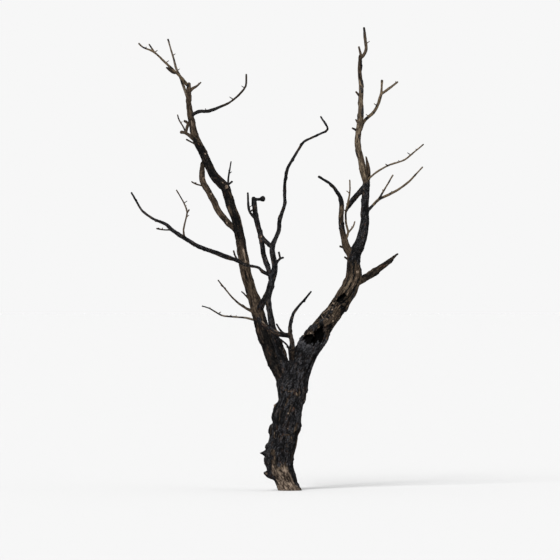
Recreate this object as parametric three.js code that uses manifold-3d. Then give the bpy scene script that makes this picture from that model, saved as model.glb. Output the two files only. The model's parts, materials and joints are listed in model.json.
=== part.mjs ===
// A dead tree, scorched by fire, standing on its own trunk.
// Millimetres, +Z up. The flat foot of the trunk lies on Z = 0 and the origin is at its middle.
// The broad side of the crown faces -Y, with +X to the right of someone who looks at it.
//
// Every limb is a tapering solid that follows a course. A course is a short list of stretches, each
// [length, lean, toward]: how long the stretch is seen from the front, how far it leans from upright
// (in degrees, + to the right), and how far it comes forward (in degrees, - for away). A limb starts
// inside what carries it and is cut 0.3 mm clear of it.
import * as THREE from "three";
import { mergeVertices } from "three/addons/utils/BufferGeometryUtils.js";
import Module from "manifold-3d";

const wasm = await Module();
wasm.setup();

// ---------------------------------------------------------------- driving dimensions
const CLEARANCE = 0.3;        // air between a limb and what carries it
const TRUNK_SIDES = 26;
const TRUNK_STEP = 38;        // distance from ring to ring on the trunk
const TRUNK_HEIGHT = 1200;
const BOUGH_SIDES = 12;
const LIMB_SIDES = 8;
const TWIG_SIDES = 5;
const TWIG_GIRTH = 28;        // a limb no thicker than this on average counts as a twig
const LIMB_GIRTH = 75;        // and one no thicker than this as a limb
const RING_STEP = 1;          // distance from ring to ring, in girths
const SHORTEST_STEP = 44;
const LONGEST_STEP = 95;
const CORNER = 42;            // how far before and after a corner a course starts to round it

const COLLAR = 0.3;           // how much a limb swells where it leaves its carrier, as a share of its girth
const SUNK_FOOT = 1.6;        // most girth of a limb at its foot, in radii of its carrier, to stay inside
const SUNK_GAIN = 1;          // and how fast that limit opens, in girth for each length
const CROOK = 0.16;           // sideways wander of a limb, as a share of its girth,
const CROOK_LIMIT = 7;        // and the most that it may be
const CROOK_LENGTH = 130;     // distance over which that wander changes
const KNOTTY = 0.05;          // swell and waist along a limb, as a share of its girth,
const KNOT_LENGTH = 1.6;      // and the distance over which they change, in girths
const FLUTES = 0.05;          // depth of the shallow flutes round a limb, as a share of its radius,
const FLUTE_TURN = 260;       // and the distance over which they turn by a radian
const DOME_RING = 0.3;        // a rounded tip has a last ring this far on, in girths,
const DOME_SHARE = 0.72;      // of this share of the radius,
const DOME_TIP = 0.5;         // and its point lies this far on

const SPUR_SPACING = 320;     // one small broken spur to about this length of twig
const SPUR_LENGTH = 34;       // its middling length clear of the twig
const SPUR_GIRTH = 9;         // the most that it measures across
const SPUR_TAPER = 0.7;       // its tip's share of that
const SPUR_LEAN = 55;         // it leans this far to one side or the other
const SPUR_SPREAD = 30;       // and at most this far forward or away
const SPUR_FROM = 0.3;        // the first and the last place for one, as shares of the twig
const SPUR_TO = 0.9;

// ---------------------------------------------------------------- seeded rule
// The same key and number always give the same value, from 0 up to 1.
function seeded(key, number) {
  const value = Math.sin(number * 12.9898 + key * 78.233) * 43758.5453;
  return value - Math.floor(value);
}

// A smooth random line through seeded values, from -1 to 1.
function wander(key, place) {
  const step = Math.floor(place);
  const ease = (1 - Math.cos((place - step) * Math.PI)) / 2;
  const from = seeded(key, step);
  const to = seeded(key, step + 1);
  return 2 * (from + (to - from) * ease) - 1;
}

// ---------------------------------------------------------------- courses
function stretchEnd(start, [length, lean, toward]) {
  const tilt = THREE.MathUtils.degToRad(lean);
  const forward = Math.tan(THREE.MathUtils.degToRad(toward));
  const step = new THREE.Vector3(Math.sin(tilt), -forward, Math.cos(tilt));
  return start.clone().addScaledVector(step, length);
}

function cornersOf(start, stretches) {
  const corners = [start];
  for (const stretch of stretches) {
    corners.push(stretchEnd(corners.at(-1), stretch));
  }
  return corners;
}

// Swaps each corner for three points on the curve that rounds it.
function rounded(corners) {
  const softer = [corners[0]];
  for (let i = 1; i + 1 < corners.length; i += 1) {
    const before = corners[i].clone().sub(corners[i - 1]);
    const after = corners[i + 1].clone().sub(corners[i]);
    const from = corners[i].clone().addScaledVector(before, -Math.min(0.4, CORNER / before.length()));
    const to = corners[i].clone().addScaledVector(after, Math.min(0.4, CORNER / after.length()));
    const bend = new THREE.QuadraticBezierCurve3(from, corners[i], to);
    softer.push(...bend.getPoints(2));
  }
  softer.push(corners.at(-1));
  return softer;
}

class Course {
  constructor(corners) {
    this.points = rounded(corners);
    this.reach = [0];
    for (let i = 1; i < this.points.length; i += 1) {
      this.reach.push(this.reach[i - 1] + this.points[i].distanceTo(this.points[i - 1]));
    }
    this.length = this.reach.at(-1);
  }

  // The point at a distance along the course.
  at(distance) {
    const goal = THREE.MathUtils.clamp(distance, 0, this.length);
    let i = 1;
    while (i < this.reach.length - 1 && this.reach[i] < goal) {
      i += 1;
    }
    const span = this.reach[i] - this.reach[i - 1];
    return this.points[i - 1].clone().lerp(this.points[i], (goal - this.reach[i - 1]) / span);
  }
}

// ---------------------------------------------------------------- one tapering limb
class Limb {
  // girths are diameters, spread evenly from the foot to the tip.
  constructor({ key, corners, girths, carrierRadius = 0, level = false, bulges = [] }) {
    Object.assign(this, { key, girths, carrierRadius, level, bulges });
    this.course = new Course(corners);
    this.sides = this.sideCount();
  }

  sideCount() {
    if (this.level) {
      return TRUNK_SIDES;
    }
    const mean = this.girths.reduce((sum, girth) => sum + girth, 0) / this.girths.length;
    if (mean > LIMB_GIRTH) {
      return BOUGH_SIDES;
    }
    return mean > TWIG_GIRTH ? LIMB_SIDES : TWIG_SIDES;
  }

  girthAt(distance) {
    const place = (distance / this.course.length) * (this.girths.length - 1);
    const i = THREE.MathUtils.clamp(Math.floor(place), 0, this.girths.length - 2);
    const plain = THREE.MathUtils.lerp(this.girths[i], this.girths[i + 1], place - i);
    if (this.level) {
      return plain;
    }
    const clear = Math.max(0, distance - this.carrierRadius);
    const collar = plain < this.carrierRadius ? COLLAR * Math.exp(-clear / plain) : 0;
    const knots = KNOTTY * wander(this.key + 0.5, distance / (KNOT_LENGTH * plain + CORNER));
    const full = plain * (1 + collar + knots);
    return this.carrierRadius > 0
      ? Math.min(SUNK_FOOT * this.carrierRadius + SUNK_GAIN * distance, full)
      : full;
  }

  // The middle of the limb, with its seeded crook, which is nil at the foot.
  middleAt(distance) {
    const middle = this.course.at(distance);
    if (this.level) {
      return middle;
    }
    const most = Math.min(CROOK * this.girthAt(distance), CROOK_LIMIT);
    const sway = most * Math.min(1, distance / CROOK_LENGTH);
    middle.x += sway * wander(this.key + 0.2, distance / CROOK_LENGTH);
    middle.y += sway * wander(this.key + 0.3, distance / CROOK_LENGTH);
    return middle;
  }

  // Distances of the rings, about one girth apart.
  ringPlaces() {
    const places = [0];
    while (places.at(-1) < this.course.length) {
      const girth = this.girthAt(places.at(-1));
      const step = THREE.MathUtils.clamp(RING_STEP * girth, SHORTEST_STEP, LONGEST_STEP);
      places.push(places.at(-1) + (this.level ? TRUNK_STEP : step));
    }
    const stretch = this.course.length / places.at(-1);
    return places.map((place) => place * stretch);
  }

  radiusAt(distance, angle, height) {
    const flutes = FLUTES * Math.sin(3 * angle + this.key + distance / FLUTE_TURN);
    let radius = (this.girthAt(distance) / 2) * (1 + flutes);
    for (const bulge of this.bulges) {
      const turn = Math.atan2(Math.sin(angle - bulge.side), Math.cos(angle - bulge.side));
      const away = ((height - bulge.height) / bulge.tall) ** 2 + (turn / bulge.wide) ** 2;
      radius += bulge.out * Math.exp(-(away ** bulge.edge));
    }
    return radius;
  }

  // A closed geometry: rings along the course, a flat foot and a rounded tip, or on a twig a pointed one.
  geometry(grow = 0) {
    const places = this.ringPlaces();
    const middles = places.map((place) => this.middleAt(place));
    const last = middles.length - 1;
    const side = new THREE.Vector3(1, 0, 0);
    const heading = new THREE.Vector3(0, 0, 1);
    const vertices = [];
    const addRing = (middle, distance, share) => {
      const across = new THREE.Vector3().crossVectors(heading, side);
      for (let k = 0; k < this.sides; k += 1) {
        const angle = (k / this.sides) * 2 * Math.PI;
        const radius = (this.radiusAt(distance, angle, middle.z) + grow) * share;
        const rim = middle.clone().addScaledVector(side, radius * Math.cos(angle));
        rim.addScaledVector(across, radius * Math.sin(angle));
        vertices.push(rim);
      }
    };
    middles.forEach((middle, i) => {
      if (!this.level) {
        heading.subVectors(middles[Math.min(i + 1, last)], middles[Math.max(i - 1, 0)]).normalize();
        side.addScaledVector(heading, -side.dot(heading)).normalize();
      }
      addRing(middle, places[i], 1);
    });
    const tipGirth = this.girthAt(this.course.length) + 2 * grow;
    const end = middles[last];
    const domed = this.sides > TWIG_SIDES;
    if (domed) {
      const rim = end.clone().addScaledVector(heading, DOME_RING * tipGirth);
      addRing(rim, this.course.length, DOME_SHARE);
    }
    vertices.push(end.clone().addScaledVector(heading, DOME_TIP * tipGirth));
    vertices.push(middles[0].clone());
    return closedLoft(vertices, domed ? last + 2 : last + 1, this.sides);
  }

  solid(grow = 0) {
    return toSolid(this.geometry(grow));
  }
}

// Joins rings of vertices, then one tip and one foot vertex, into a closed geometry.
function closedLoft(vertices, rings, sides) {
  const tip = rings * sides;
  const foot = tip + 1;
  const faces = [];
  for (let k = 0; k < sides; k += 1) {
    const next = (k + 1) % sides;
    for (let ring = 0; ring + 1 < rings; ring += 1) {
      const low = ring * sides;
      const high = low + sides;
      faces.push(low + k, low + next, high + next, low + k, high + next, high + k);
    }
    const top = (rings - 1) * sides;
    faces.push(top + k, top + next, tip, next, k, foot);
  }
  const geometry = new THREE.BufferGeometry().setFromPoints(vertices);
  geometry.setIndex(faces);
  return geometry;
}

// ---------------------------------------------------------------- solids
function toSolid(geometry) {
  const plain = geometry.clone();
  plain.deleteAttribute("normal");
  plain.deleteAttribute("uv");
  const merged = mergeVertices(plain);
  return new wasm.Manifold(new wasm.Mesh({
    numProp: 3,
    vertProperties: new Float32Array(merged.attributes.position.array),
    triVerts: new Uint32Array(merged.index.array),
  }));
}

function toGeometry(solid) {
  const { vertProperties, triVerts } = solid.getMesh();
  const geometry = new THREE.BufferGeometry();
  geometry.setAttribute("position", new THREE.BufferAttribute(vertProperties, 3));
  geometry.setIndex(new THREE.BufferAttribute(triVerts, 1));
  geometry.computeVertexNormals();
  return geometry;
}

function largestPiece(solid) {
  return solid.decompose().sort((a, b) => b.volume() - a.volume())[0];
}

function boxesMeet(a, b) {
  return [0, 1, 2].every((i) => a.min[i] <= b.max[i] && b.min[i] <= a.max[i]);
}

// ---------------------------------------------------------------- finishes
function bark(color, roughness) {
  return new THREE.MeshStandardMaterial({ color, roughness, metalness: 0 });
}

const FINISHES = {
  charred: () => bark(0x232326, 0.85),
  scorched: () => bark(0x3d342d, 0.85),
  pale: () => bark(0x675a4c, 0.8),
  tan: () => bark(0x85735f, 0.8),
};

// ---------------------------------------------------------------- the tree
const group = new THREE.Group();
const limbs = new Map();      // name -> the limb that others may start from
const carriers = [];          // uncut solids that are 0.3 mm larger, which later ones stay clear of

function cutClear(solid) {
  const box = solid.boundingBox();
  let clear = solid;
  for (const carrier of carriers) {
    if (boxesMeet(box, carrier.boundingBox())) {
      clear = clear.subtract(carrier);
    }
  }
  return largestPiece(clear);
}

function addPiece(name, finish, solid) {
  const mesh = new THREE.Mesh(toGeometry(solid), FINISHES[finish]());
  mesh.name = name;
  group.add(mesh);
}

function limbFrom(carrier, { at, course, girths }, key) {
  const distance = at * carrier.course.length;
  return new Limb({
    key,
    girths,
    corners: cornersOf(carrier.middleAt(distance), course),
    carrierRadius: carrier.girthAt(distance) / 2,
  });
}

// A short limb from one limb across to another, bowed off the straight line at its middle.
function bridgeBetween(from, to, { at, landing, bow, girths }, key) {
  const start = from.middleAt(at * from.course.length);
  const end = to.middleAt(landing * to.course.length);
  const middle = start.clone().lerp(end, 0.5).add(new THREE.Vector3(...bow));
  return new Limb({ key, girths, corners: [start, middle, end] });
}

// Small broken spurs, by the seeded rule: where they sit, which way they point and how long they are.
function spursOn(stem, key) {
  const count = Math.round(stem.course.length / SPUR_SPACING);
  const spurs = [];
  for (let i = 0; i < count; i += 1) {
    const place = (i + 0.2 + 0.6 * seeded(key, i)) / count;
    const at = THREE.MathUtils.lerp(SPUR_FROM, SPUR_TO, place);
    const lean = seeded(key, i + 20) > 0.5 ? SPUR_LEAN : -SPUR_LEAN;
    const toward = SPUR_SPREAD * (2 * seeded(key, i + 40) - 1);
    const length = SPUR_LENGTH * (0.6 + 0.8 * seeded(key, i + 60)) + stem.girthAt(0) / 2;
    const girth = Math.min(SPUR_GIRTH, SPUR_TAPER * stem.girthAt(at * stem.course.length));
    spurs.push({ at, course: [[length, lean, toward]], girths: [girth, SPUR_TAPER * girth] });
  }
  return spurs;
}

// Makes one node: its stem, the forks that are part of it, and on twigs the seeded spurs.
function growNode(name, finish, spec) {
  const key = group.children.length + 1;
  const carrier = limbs.get(spec.on);
  const stem = spec.landing === undefined
    ? limbFrom(carrier, spec, key)
    : bridgeBetween(carrier, limbs.get(spec.to ?? spec.on), spec, key);
  const forks = [...(spec.forks ?? []), ...(spec.spurs ? spursOn(stem, key) : [])];
  const parts = [stem];
  forks.forEach((fork, i) => parts.push(limbFrom(stem, fork, key + (i + 1) / 100)));
  let solid = parts[0].solid();
  for (const part of parts.slice(1)) {
    solid = solid.add(part.solid());
  }
  for (const hollow of spec.carve ? spec.carve(stem) : []) {
    solid = solid.subtract(hollow);
  }
  addPiece(name, finish, cutClear(solid));
  limbs.set(name, stem);
  parts.forEach((part) => carriers.push(part.solid(CLEARANCE)));
}

// ---------------------------------------------------------------- trunk
const RIGHT = 0;
const LEFT = Math.PI;
const FRONT_LEFT = -0.8 * Math.PI;
const FRONT_RIGHT = -0.2 * Math.PI;
const FRONT = -0.5 * Math.PI;

const SPIKE_KEY = 0.5;        // the seed of the charred spike low on the trunk's left
const PLATES = { spacing: 145, columns: 6, out: 7, tall: 58, wide: 0.36, shift: 0.3 };

// The large plates of the cracked char, in staggered rows round the trunk, some proud and some sunk.
function seededPlates() {
  const plates = [];
  const rows = Math.floor(TRUNK_HEIGHT / PLATES.spacing);
  for (let row = 0; row < rows; row += 1) {
    for (let column = 0; column < PLATES.columns; column += 1) {
      const draw = (number) => 2 * seeded(row + 0.5, column + number) - 1;
      const place = column + (row % 2) / 2 + PLATES.shift * draw(0);
      plates.push({
        height: (row + 0.6 + PLATES.shift * draw(20)) * PLATES.spacing,
        side: (place / PLATES.columns) * 2 * Math.PI,
        out: PLATES.out * draw(40),
        tall: PLATES.tall,
        wide: PLATES.wide,
        edge: 2,
      });
    }
  }
  return plates;
}

const trunk = new Limb({
  key: 0,
  level: true,
  girths: [250, 232, 296, 290, 300, 308, 292, 306, 302, 290, 268, 282, 268],
  corners: cornersOf(new THREE.Vector3(0, 0, 0), [
    [110, -23, 0], [120, -34, 0], [150, -4, 0], [250, 12, 2], [210, 10, 3], [200, 17, 3], [170, -3, 0],
  ]),
  bulges: [
    { height: 165, side: LEFT, out: 44, tall: 44, wide: 0.6, edge: 3 },      // root lobe over the undercut foot
    { height: 320, side: LEFT, out: 22, tall: 60, wide: 0.5, edge: 2 },      // lumps above it
    { height: 425, side: LEFT, out: 15, tall: 50, wide: 0.45, edge: 2 },
    { height: 486, side: LEFT, out: 22, tall: 28, wide: 0.35, edge: 2 },
    { height: 665, side: LEFT, out: 19, tall: 56, wide: 0.5, edge: 2 },      // torn plates, one over the other
    { height: 733, side: LEFT, out: -15, tall: 16, wide: 0.4, edge: 1 },
    { height: 862, side: LEFT, out: 18, tall: 86, wide: 0.5, edge: 3 },
    { height: 925, side: LEFT, out: 14, tall: 26, wide: 0.35, edge: 1 },     // knob on the upper one
    { height: 500, side: FRONT_LEFT, out: 16, tall: 120, wide: 0.5, edge: 1 },
    { height: 700, side: FRONT_RIGHT, out: 12, tall: 90, wide: 0.6, edge: 1 },
    { height: 670, side: RIGHT, out: 12, tall: 60, wide: 0.5, edge: 2 },
    { height: 980, side: RIGHT, out: 20, tall: 48, wide: 0.5, edge: 2 },
    { height: 60, side: FRONT, out: -14, tall: 90, wide: 0.6, edge: 1 },     // burnt-out foot
    ...seededPlates(),
  ],
});
const spike = limbFrom(trunk, { at: 0.352, girths: [74, 76, 74, 58, 6], course: [[212, -88, 14]] }, SPIKE_KEY);
addPiece("trunk", "charred", trunk.solid().add(spike.solid()));
limbs.set("trunk", trunk);
carriers.push(trunk.solid(CLEARANCE));

// ---------------------------------------------------------------- right bough
// The thickest one. It runs on as the leader to the top of the tree, and is burnt hollow in its face.
// A hollow's place is its share of the bough's length and how far it lies right of the middle line.
const HOLLOW_SUNK = 0.8;      // a hollow's middle lies this far forward, in radii of the bough
const HOLLOWS = [
  { share: 0.18, aside: 24, wide: 50, tall: 94, deep: 62, lean: 14 },
  { share: 0.16, aside: -54, wide: 40, tall: 30, deep: 46, lean: 52 },
  { share: 0.305, aside: -27, wide: 29, tall: 50, deep: 44, lean: 29 },
];

function pocketIn(stem, { share, aside, wide, tall, deep, lean }) {
  const distance = share * stem.course.length;
  const middle = stem.middleAt(distance);
  const heading = stem.middleAt(distance + wide).sub(middle).setY(0).normalize();
  const pocket = new THREE.SphereGeometry(1, 12, 8);
  pocket.scale(wide, deep, tall);
  pocket.rotateY(THREE.MathUtils.degToRad(lean));
  pocket.translate(
    middle.x + aside * heading.z,
    middle.y - HOLLOW_SUNK * (stem.girthAt(distance) / 2),
    middle.z - aside * heading.x,
  );
  return toSolid(pocket);
}

function hollowsOf(stem) {
  return HOLLOWS.map((hollow) => pocketIn(stem, hollow));
}

growNode("right_bough", "charred", {
  on: "trunk", at: 0.92,
  girths: [272, 246, 230, 182, 176, 142, 101, 78, 70, 62, 59, 42, 34],
  course: [
    [315, 17, 4], [235, 29, 10], [215, 31, 14], [260, 40, 12], [247, 31, 12], [134, 23, 8],
    [234, -3, 4], [142, 29, -5], [219, 16, -7], [312, 2, -8], [140, 4, -6], [207, -13, -4],
    [239, -12, -2], [260, 6, 2], [325, 3, 2], [215, -6, 4], [140, 2, 4],
  ],
  carve: hollowsOf,
});

growNode("right_inner_limb", "charred", {
  on: "right_bough", at: 0.424,
  girths: [78, 76, 58, 50, 42, 28, 20],
  course: [[140, -29, 20], [237, -16, 24], [212, 2, 22], [103, -6, 20], [167, -37, 24], [155, -60, 26]],
  forks: [{ at: 0.12, girths: [22, 20], course: [[78, -72, 0]] }],
});

growNode("right_broken_limb", "scorched", {
  on: "right_bough", at: 0.361,
  girths: [70, 70, 70, 64, 44, 14],
  course: [[76, 86, -16], [89, 66, -28], [241, 55, -30], [176, 49, -24]],
});

growNode("hanging_limb", "charred", {
  on: "right_bough", at: 0.638,
  girths: [56, 57, 54, 18],
  course: [[135, -134, -20], [128, -142, -16], [98, -156, -10]],
});

growNode("leader_splinter", "tan", {
  on: "right_bough", at: 0.64,
  girths: [46, 46, 36, 14],
  course: [[88, 12, -34], [92, 1, -14], [118, -12, -4]],
});

// ---------------------------------------------------------------- left bough
growNode("left_bough", "scorched", {
  on: "trunk", at: 0.9,
  girths: [190, 160, 150, 138, 110, 110, 104, 96, 98, 92, 80, 62, 30],
  course: [
    [378, -30, -14], [230, -21, -14], [165, -19, -12], [335, -15, -11], [216, -19, -10],
    [390, -11, -10], [225, -9, -8], [240, -21, -6], [170, -10, -4], [178, -46, -2], [180, -28, -4],
    [328, -25, -6], [174, -12, -4], [230, -8, -2], [165, 4, 0],
  ],
});

growNode("left_side_bough", "pale", {
  on: "left_bough", at: 0.522,
  girths: [68, 64, 62, 62, 66, 44],
  course: [
    [156, -50, -34], [128, -40, -30], [255, -29, -22], [111, -30, -16], [125, -11, -12], [105, 2, -8],
  ],
});

// ---------------------------------------------------------------- centre bough
// It stands close beside the left bough, with a web of charred wood between them, and forks higher up.
growNode("centre_bough", "charred", {
  on: "trunk", at: 1,
  girths: [96, 92, 60, 70, 44, 34, 30, 22, 16],
  course: [
    [350, -20, 5], [292, -17, 6], [316, -10, 4], [218, 12, 3], [118, 22, 4], [220, -11, 5],
    [212, 22, 10], [87, -4, 12], [207, 21, 16], [195, -5, 18], [180, 11, 16], [342, 31, 16],
    [295, 66, 22], [165, -32, 4],
  ],
});

growNode("centre_strand", "charred", {
  on: "centre_bough", at: 0.335, to: "left_bough", landing: 0.275,
  girths: [60, 62, 66],
  bow: [0, 0, -14],
});

growNode("centre_left_limb", "charred", {
  on: "centre_bough", at: 0.356,
  girths: [52, 52, 48, 54, 56, 50],
  course: [[115, -17, -8], [181, -18, -10], [196, -10, -10], [245, -12, -10], [167, -6, -8]],
  forks: [{ at: 0.995, girths: [42, 28, 30, 64], course: [[50, 93, 24], [46, 80, 16]] }],
});

growNode("long_left_limb", "charred", {
  on: "centre_bough", at: 0.37,
  girths: [40, 26, 38, 46, 40, 42, 28, 21, 16],
  course: [
    [118, -66, 14], [61, -37, 18], [165, -81, 20], [100, -59, 18], [433, -70, 18], [182, -60, 14],
    [157, -55, 10], [70, -41, 10], [174, -69, 12], [128, -54, 12], [234, -30, 6],
  ],
});

growNode("centre_join", "charred", {
  on: "centre_bough", at: 0.473, to: "centre_left_limb", landing: 0.54,
  girths: [52, 46, 50],
  bow: [0, 0, -12],
});

// ---------------------------------------------------------------- limbs in the crotch
growNode("crotch_limb", "charred", {
  on: "trunk", at: 1,
  girths: [58, 52, 44, 28, 16],
  course: [[290, 0, 26], [115, 8, 20], [140, -13, 16], [110, 3, 14], [105, 15, 14], [300, 39, 12]],
});

growNode("crossing_limb", "charred", {
  on: "crotch_limb", at: 0.5,
  girths: [52, 50, 34, 22, 14, 12],
  course: [[140, -83, 10], [210, -56, 10], [105, -28, 6], [215, -59, 12], [110, -49, 12], [240, -39, 10]],
});

// ---------------------------------------------------------------- masses of twigs
// [name, finish, what it grows on and where, girths, course, forks]
const TWIGS = [
  ["left_low_twigs", "tan", "left_bough", 0.241, [20, 17, 13],
    [[163, -74, -30], [265, -86, -24], [165, -58, -18], [75, -75, -14]]],
  ["left_little_twigs", "tan", "left_bough", 0.292, [16, 15, 12],
    [[84, -54, -34], [98, -38, -28], [38, -51, -20]]],
  ["left_tip_twigs", "tan", "left_bough", 0.951, [31, 30, 26, 20, 15],
    [[185, -20, -14], [180, -23, -10], [145, -16, -4], [190, -16, 4]]],
  ["left_forked_twigs", "tan", "left_bough", 0.99, [34, 27, 25, 20, 15],
    [[130, -39, 34], [212, -47, 22], [198, -47, 18], [121, -71, 12], [60, -44, 8]],
    [
      { at: 0.74, girths: [18, 14], course: [[105, -34, 22]] },
      { at: 0.3, girths: [32, 40, 38, 18], course: [[40, -72, 4], [82, -58, 14]] },
    ]],
  ["left_top_twigs", "scorched", "left_bough", 0.973, [40, 26, 15],
    [[58, 36, -30], [55, 68, -26], [62, 44, -20]]],
  ["left_high_twigs", "tan", "left_bough", 0.902, [38, 36, 23, 19, 15],
    [[101, 56, 30], [111, 95, 30], [233, 68, 28], [125, 55, 20], [146, 41, 14], [128, 0, 6]]],
  ["left_cluster_twigs", "scorched", "left_bough", 0.824, [40, 38, 32],
    [[158, -53, -32], [45, -82, -20]],
    [
      { at: 0.78, girths: [18, 15, 13], course: [[60, -17, -10], [105, -34, -8], [55, -11, 0]] },
      { at: 0.78, girths: [32, 30, 30, 26], course: [[70, 12, -16], [42, 20, -6], [50, -60, -4]] },
    ]],
  ["left_prong_twigs", "tan", "left_bough", 0.807, [20, 15], [[95, -63, 24], [65, -62, 16]]],
  ["upright_twigs", "tan", "left_bough", 0.657, [23, 22, 15, 12], [[60, 26, 26], [88, 4, 14], [150, 9, 8]],
    [{ at: 0.12, girths: [22, 22], course: [[68, 50, 8]] }]],
  ["side_bough_twigs", "tan", "left_side_bough", 0.73, [15, 12], [[100, -78, -22], [58, -59, -16]]],
  ["long_limb_upright_twigs", "tan", "long_left_limb", 0.585, [20, 17, 14, 13],
    [[92, -9, -20], [198, 14, -18], [94, -21, -14], [170, -31, -12]],
    [{ at: 0.51, girths: [13, 12], course: [[40, 34, -10]] }]],
  ["long_limb_under_twigs", "tan", "long_left_limb", 0.67, [17, 14], [[85, -93, -14], [82, -78, -10]]],
  ["long_limb_split_twigs", "scorched", "long_left_limb", 0.235, [14, 12], [[130, -79, 26], [130, -67, 14]]],
  ["long_limb_peg_twigs", "scorched", "long_left_limb", 0.228, [19, 15], [[72, -35, -24], [60, -15, -14]]],
  ["hook_twigs", "scorched", "centre_left_limb", 0.755, [23, 25, 20],
    [[103, -47, 34], [70, -10, 14], [140, -2, 4]]],
  ["centre_peg_twigs", "scorched", "centre_bough", 0.411, [24, 18, 16], [[92, 41, -26], [30, 80, -10]],
    [{ at: 0.74, girths: [16, 14], course: [[70, -13, -6]] }]],
  ["inner_twigs", "tan", "right_inner_limb", 0.21, [24, 22, 18, 14],
    [[95, 27, 26], [95, -20, 12], [130, -2, 6], [210, 14, 8], [140, -3, 4]],
    [{ at: 0.15, girths: [18, 14], course: [[84, 42, 18], [58, 16, 8]] }]],
  ["right_fine_twigs", "tan", "right_bough", 0.649, [18, 16, 15, 13],
    [[150, 50, 34], [135, 60, 30], [185, 73, 26], [260, 50, 20]]],
  ["right_fork_twigs", "tan", "right_bough", 0.557, [36, 28, 20, 14],
    [[215, 44, -32], [245, 64, -28], [145, 53, -24], [210, 42, -18]],
    [{ at: 0.27, girths: [20, 15, 13], course: [[205, 31, -10], [106, 30, -8]] }]],
  ["right_high_twigs", "tan", "right_bough", 0.775, [36, 32, 28, 24],
    [[160, 19, -34], [184, 47, -32], [99, 22, -28], [118, 16, -26]],
    [
      { at: 0.97, girths: [24, 22, 15], course: [[100, 55, -28], [126, 52, -24]] },
      { at: 0.98, girths: [20, 18, 24], course: [[140, 5, -6]] },
    ]],
  ["right_top_twigs", "scorched", "right_bough", 0.994, [32, 30, 32, 28, 22],
    [[58, 50, -18], [62, 23, -12], [80, -8, -4], [155, -7, 0]],
    [{ at: 0.05, girths: [24, 20], course: [[112, -14, 14]] }]],
  ["leader_peg_twigs", "tan", "right_bough", 0.885, [22, 18], [[76, -43, 24]]],
  ["leader_middle_twigs", "tan", "right_bough", 0.806, [20, 17], [[72, -32, 24]]],
  ["leader_lower_twigs", "tan", "right_bough", 0.79, [20, 16], [[74, -64, 12]]],
  ["bough_peg_twigs", "charred", "right_bough", 0.412, [24, 18], [[112, -56, 8]]],
  ["crossing_prong_twigs", "charred", "crossing_limb", 0.06, [24, 20, 16], [[74, -44, 20], [74, -31, 8]]],
  ["crotch_thin_twigs", "charred", "trunk", 1, [20, 18, 15], [[400, -5, 28], [110, -49, 20]],
    [{ at: 0.72, girths: [15, 13], course: [[64, 16, 16]] }]],
];

for (const [name, finish, on, at, girths, course, forks] of TWIGS) {
  growNode(name, finish, { on, at, girths, course, forks, spurs: true });
}

// Two short rungs tie the hooked twig back to its limb, and a second strand runs beside the long limb.
growNode("hook_lower_rung", "scorched", {
  on: "hook_twigs", at: 0.38, to: "centre_left_limb", landing: 0.88,
  girths: [14, 14],
  bow: [0, 0, 4],
});
growNode("long_limb_strand", "charred", {
  on: "long_left_limb", at: 0.557, landing: 0.664,
  girths: [18, 16, 17],
  bow: [14, 18, -22],
});

export default group;
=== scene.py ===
"""A dead tree, scorched by fire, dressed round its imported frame.

The frame gives the tree's limbs as plain tapering solids. This script lays a skin of cracked char, scorched
bark or bare wood over every limb, and grows each mass of bare twigs again by the same seeded rule, carried on
to finer twigs. Plans are in millimetres, as the frame's own source is, and meshes are in metres, +Z up.

A course is a short list of stretches, each (length, lean, toward): how long the stretch is seen from the
front, how far it leans from upright in degrees, + to the right, and how far it comes forward.
"""
import json
import logging
import math
from dataclasses import dataclass
from enum import Enum, IntEnum
from typing import Any, Optional, Sequence

import bpy
import numpy as np
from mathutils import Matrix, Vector


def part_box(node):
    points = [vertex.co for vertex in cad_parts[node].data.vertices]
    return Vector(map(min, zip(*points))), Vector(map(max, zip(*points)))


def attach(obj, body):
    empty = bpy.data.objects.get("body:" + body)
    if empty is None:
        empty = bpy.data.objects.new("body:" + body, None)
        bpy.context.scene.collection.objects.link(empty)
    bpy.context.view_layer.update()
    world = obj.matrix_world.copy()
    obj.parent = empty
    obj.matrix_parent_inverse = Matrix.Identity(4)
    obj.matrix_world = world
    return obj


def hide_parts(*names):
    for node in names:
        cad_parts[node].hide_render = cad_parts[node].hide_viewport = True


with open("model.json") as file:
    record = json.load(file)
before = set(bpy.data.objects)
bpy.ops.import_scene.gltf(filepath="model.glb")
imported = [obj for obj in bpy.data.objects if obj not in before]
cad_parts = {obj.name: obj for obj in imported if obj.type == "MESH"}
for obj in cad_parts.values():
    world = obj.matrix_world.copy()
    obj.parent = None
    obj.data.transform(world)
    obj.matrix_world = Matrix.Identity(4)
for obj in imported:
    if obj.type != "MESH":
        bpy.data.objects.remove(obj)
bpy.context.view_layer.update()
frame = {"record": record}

LOG = logging.getLogger("dead_tree")

MM = 0.001  # metres in a millimetre
FULL_TURN = 2 * math.pi
FAR = 9.0  # a reach past every patch's edge and every cell's wall

Array = np.ndarray
Triple = tuple[float, float, float]
Stretch = Colour = Triple
Piece = bpy.types.Object
Material = bpy.types.Material


# ---- seeded rule
NUMBER_STEP, KEY_STEP, SPREAD = 12.9898, 78.233, 43758.5453  # as in the frame's own rule
BRANCH_KEYS, FINE_KEYS = 100, 50  # branches' keys, and fine twigs', from one whole key to the next


@dataclass(frozen=True)
class Keys:
    """What is added to a limb's key, so that each of its draws differs from the others."""

    crook_right: float = 0.2
    crook_away: float = 0.3
    fine: float = 0.37
    knotty: float = 0.5
    stubs: float = 0.61
    grain: float = 0.7
    char: float = 0.9


KEYS = Keys()


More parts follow.
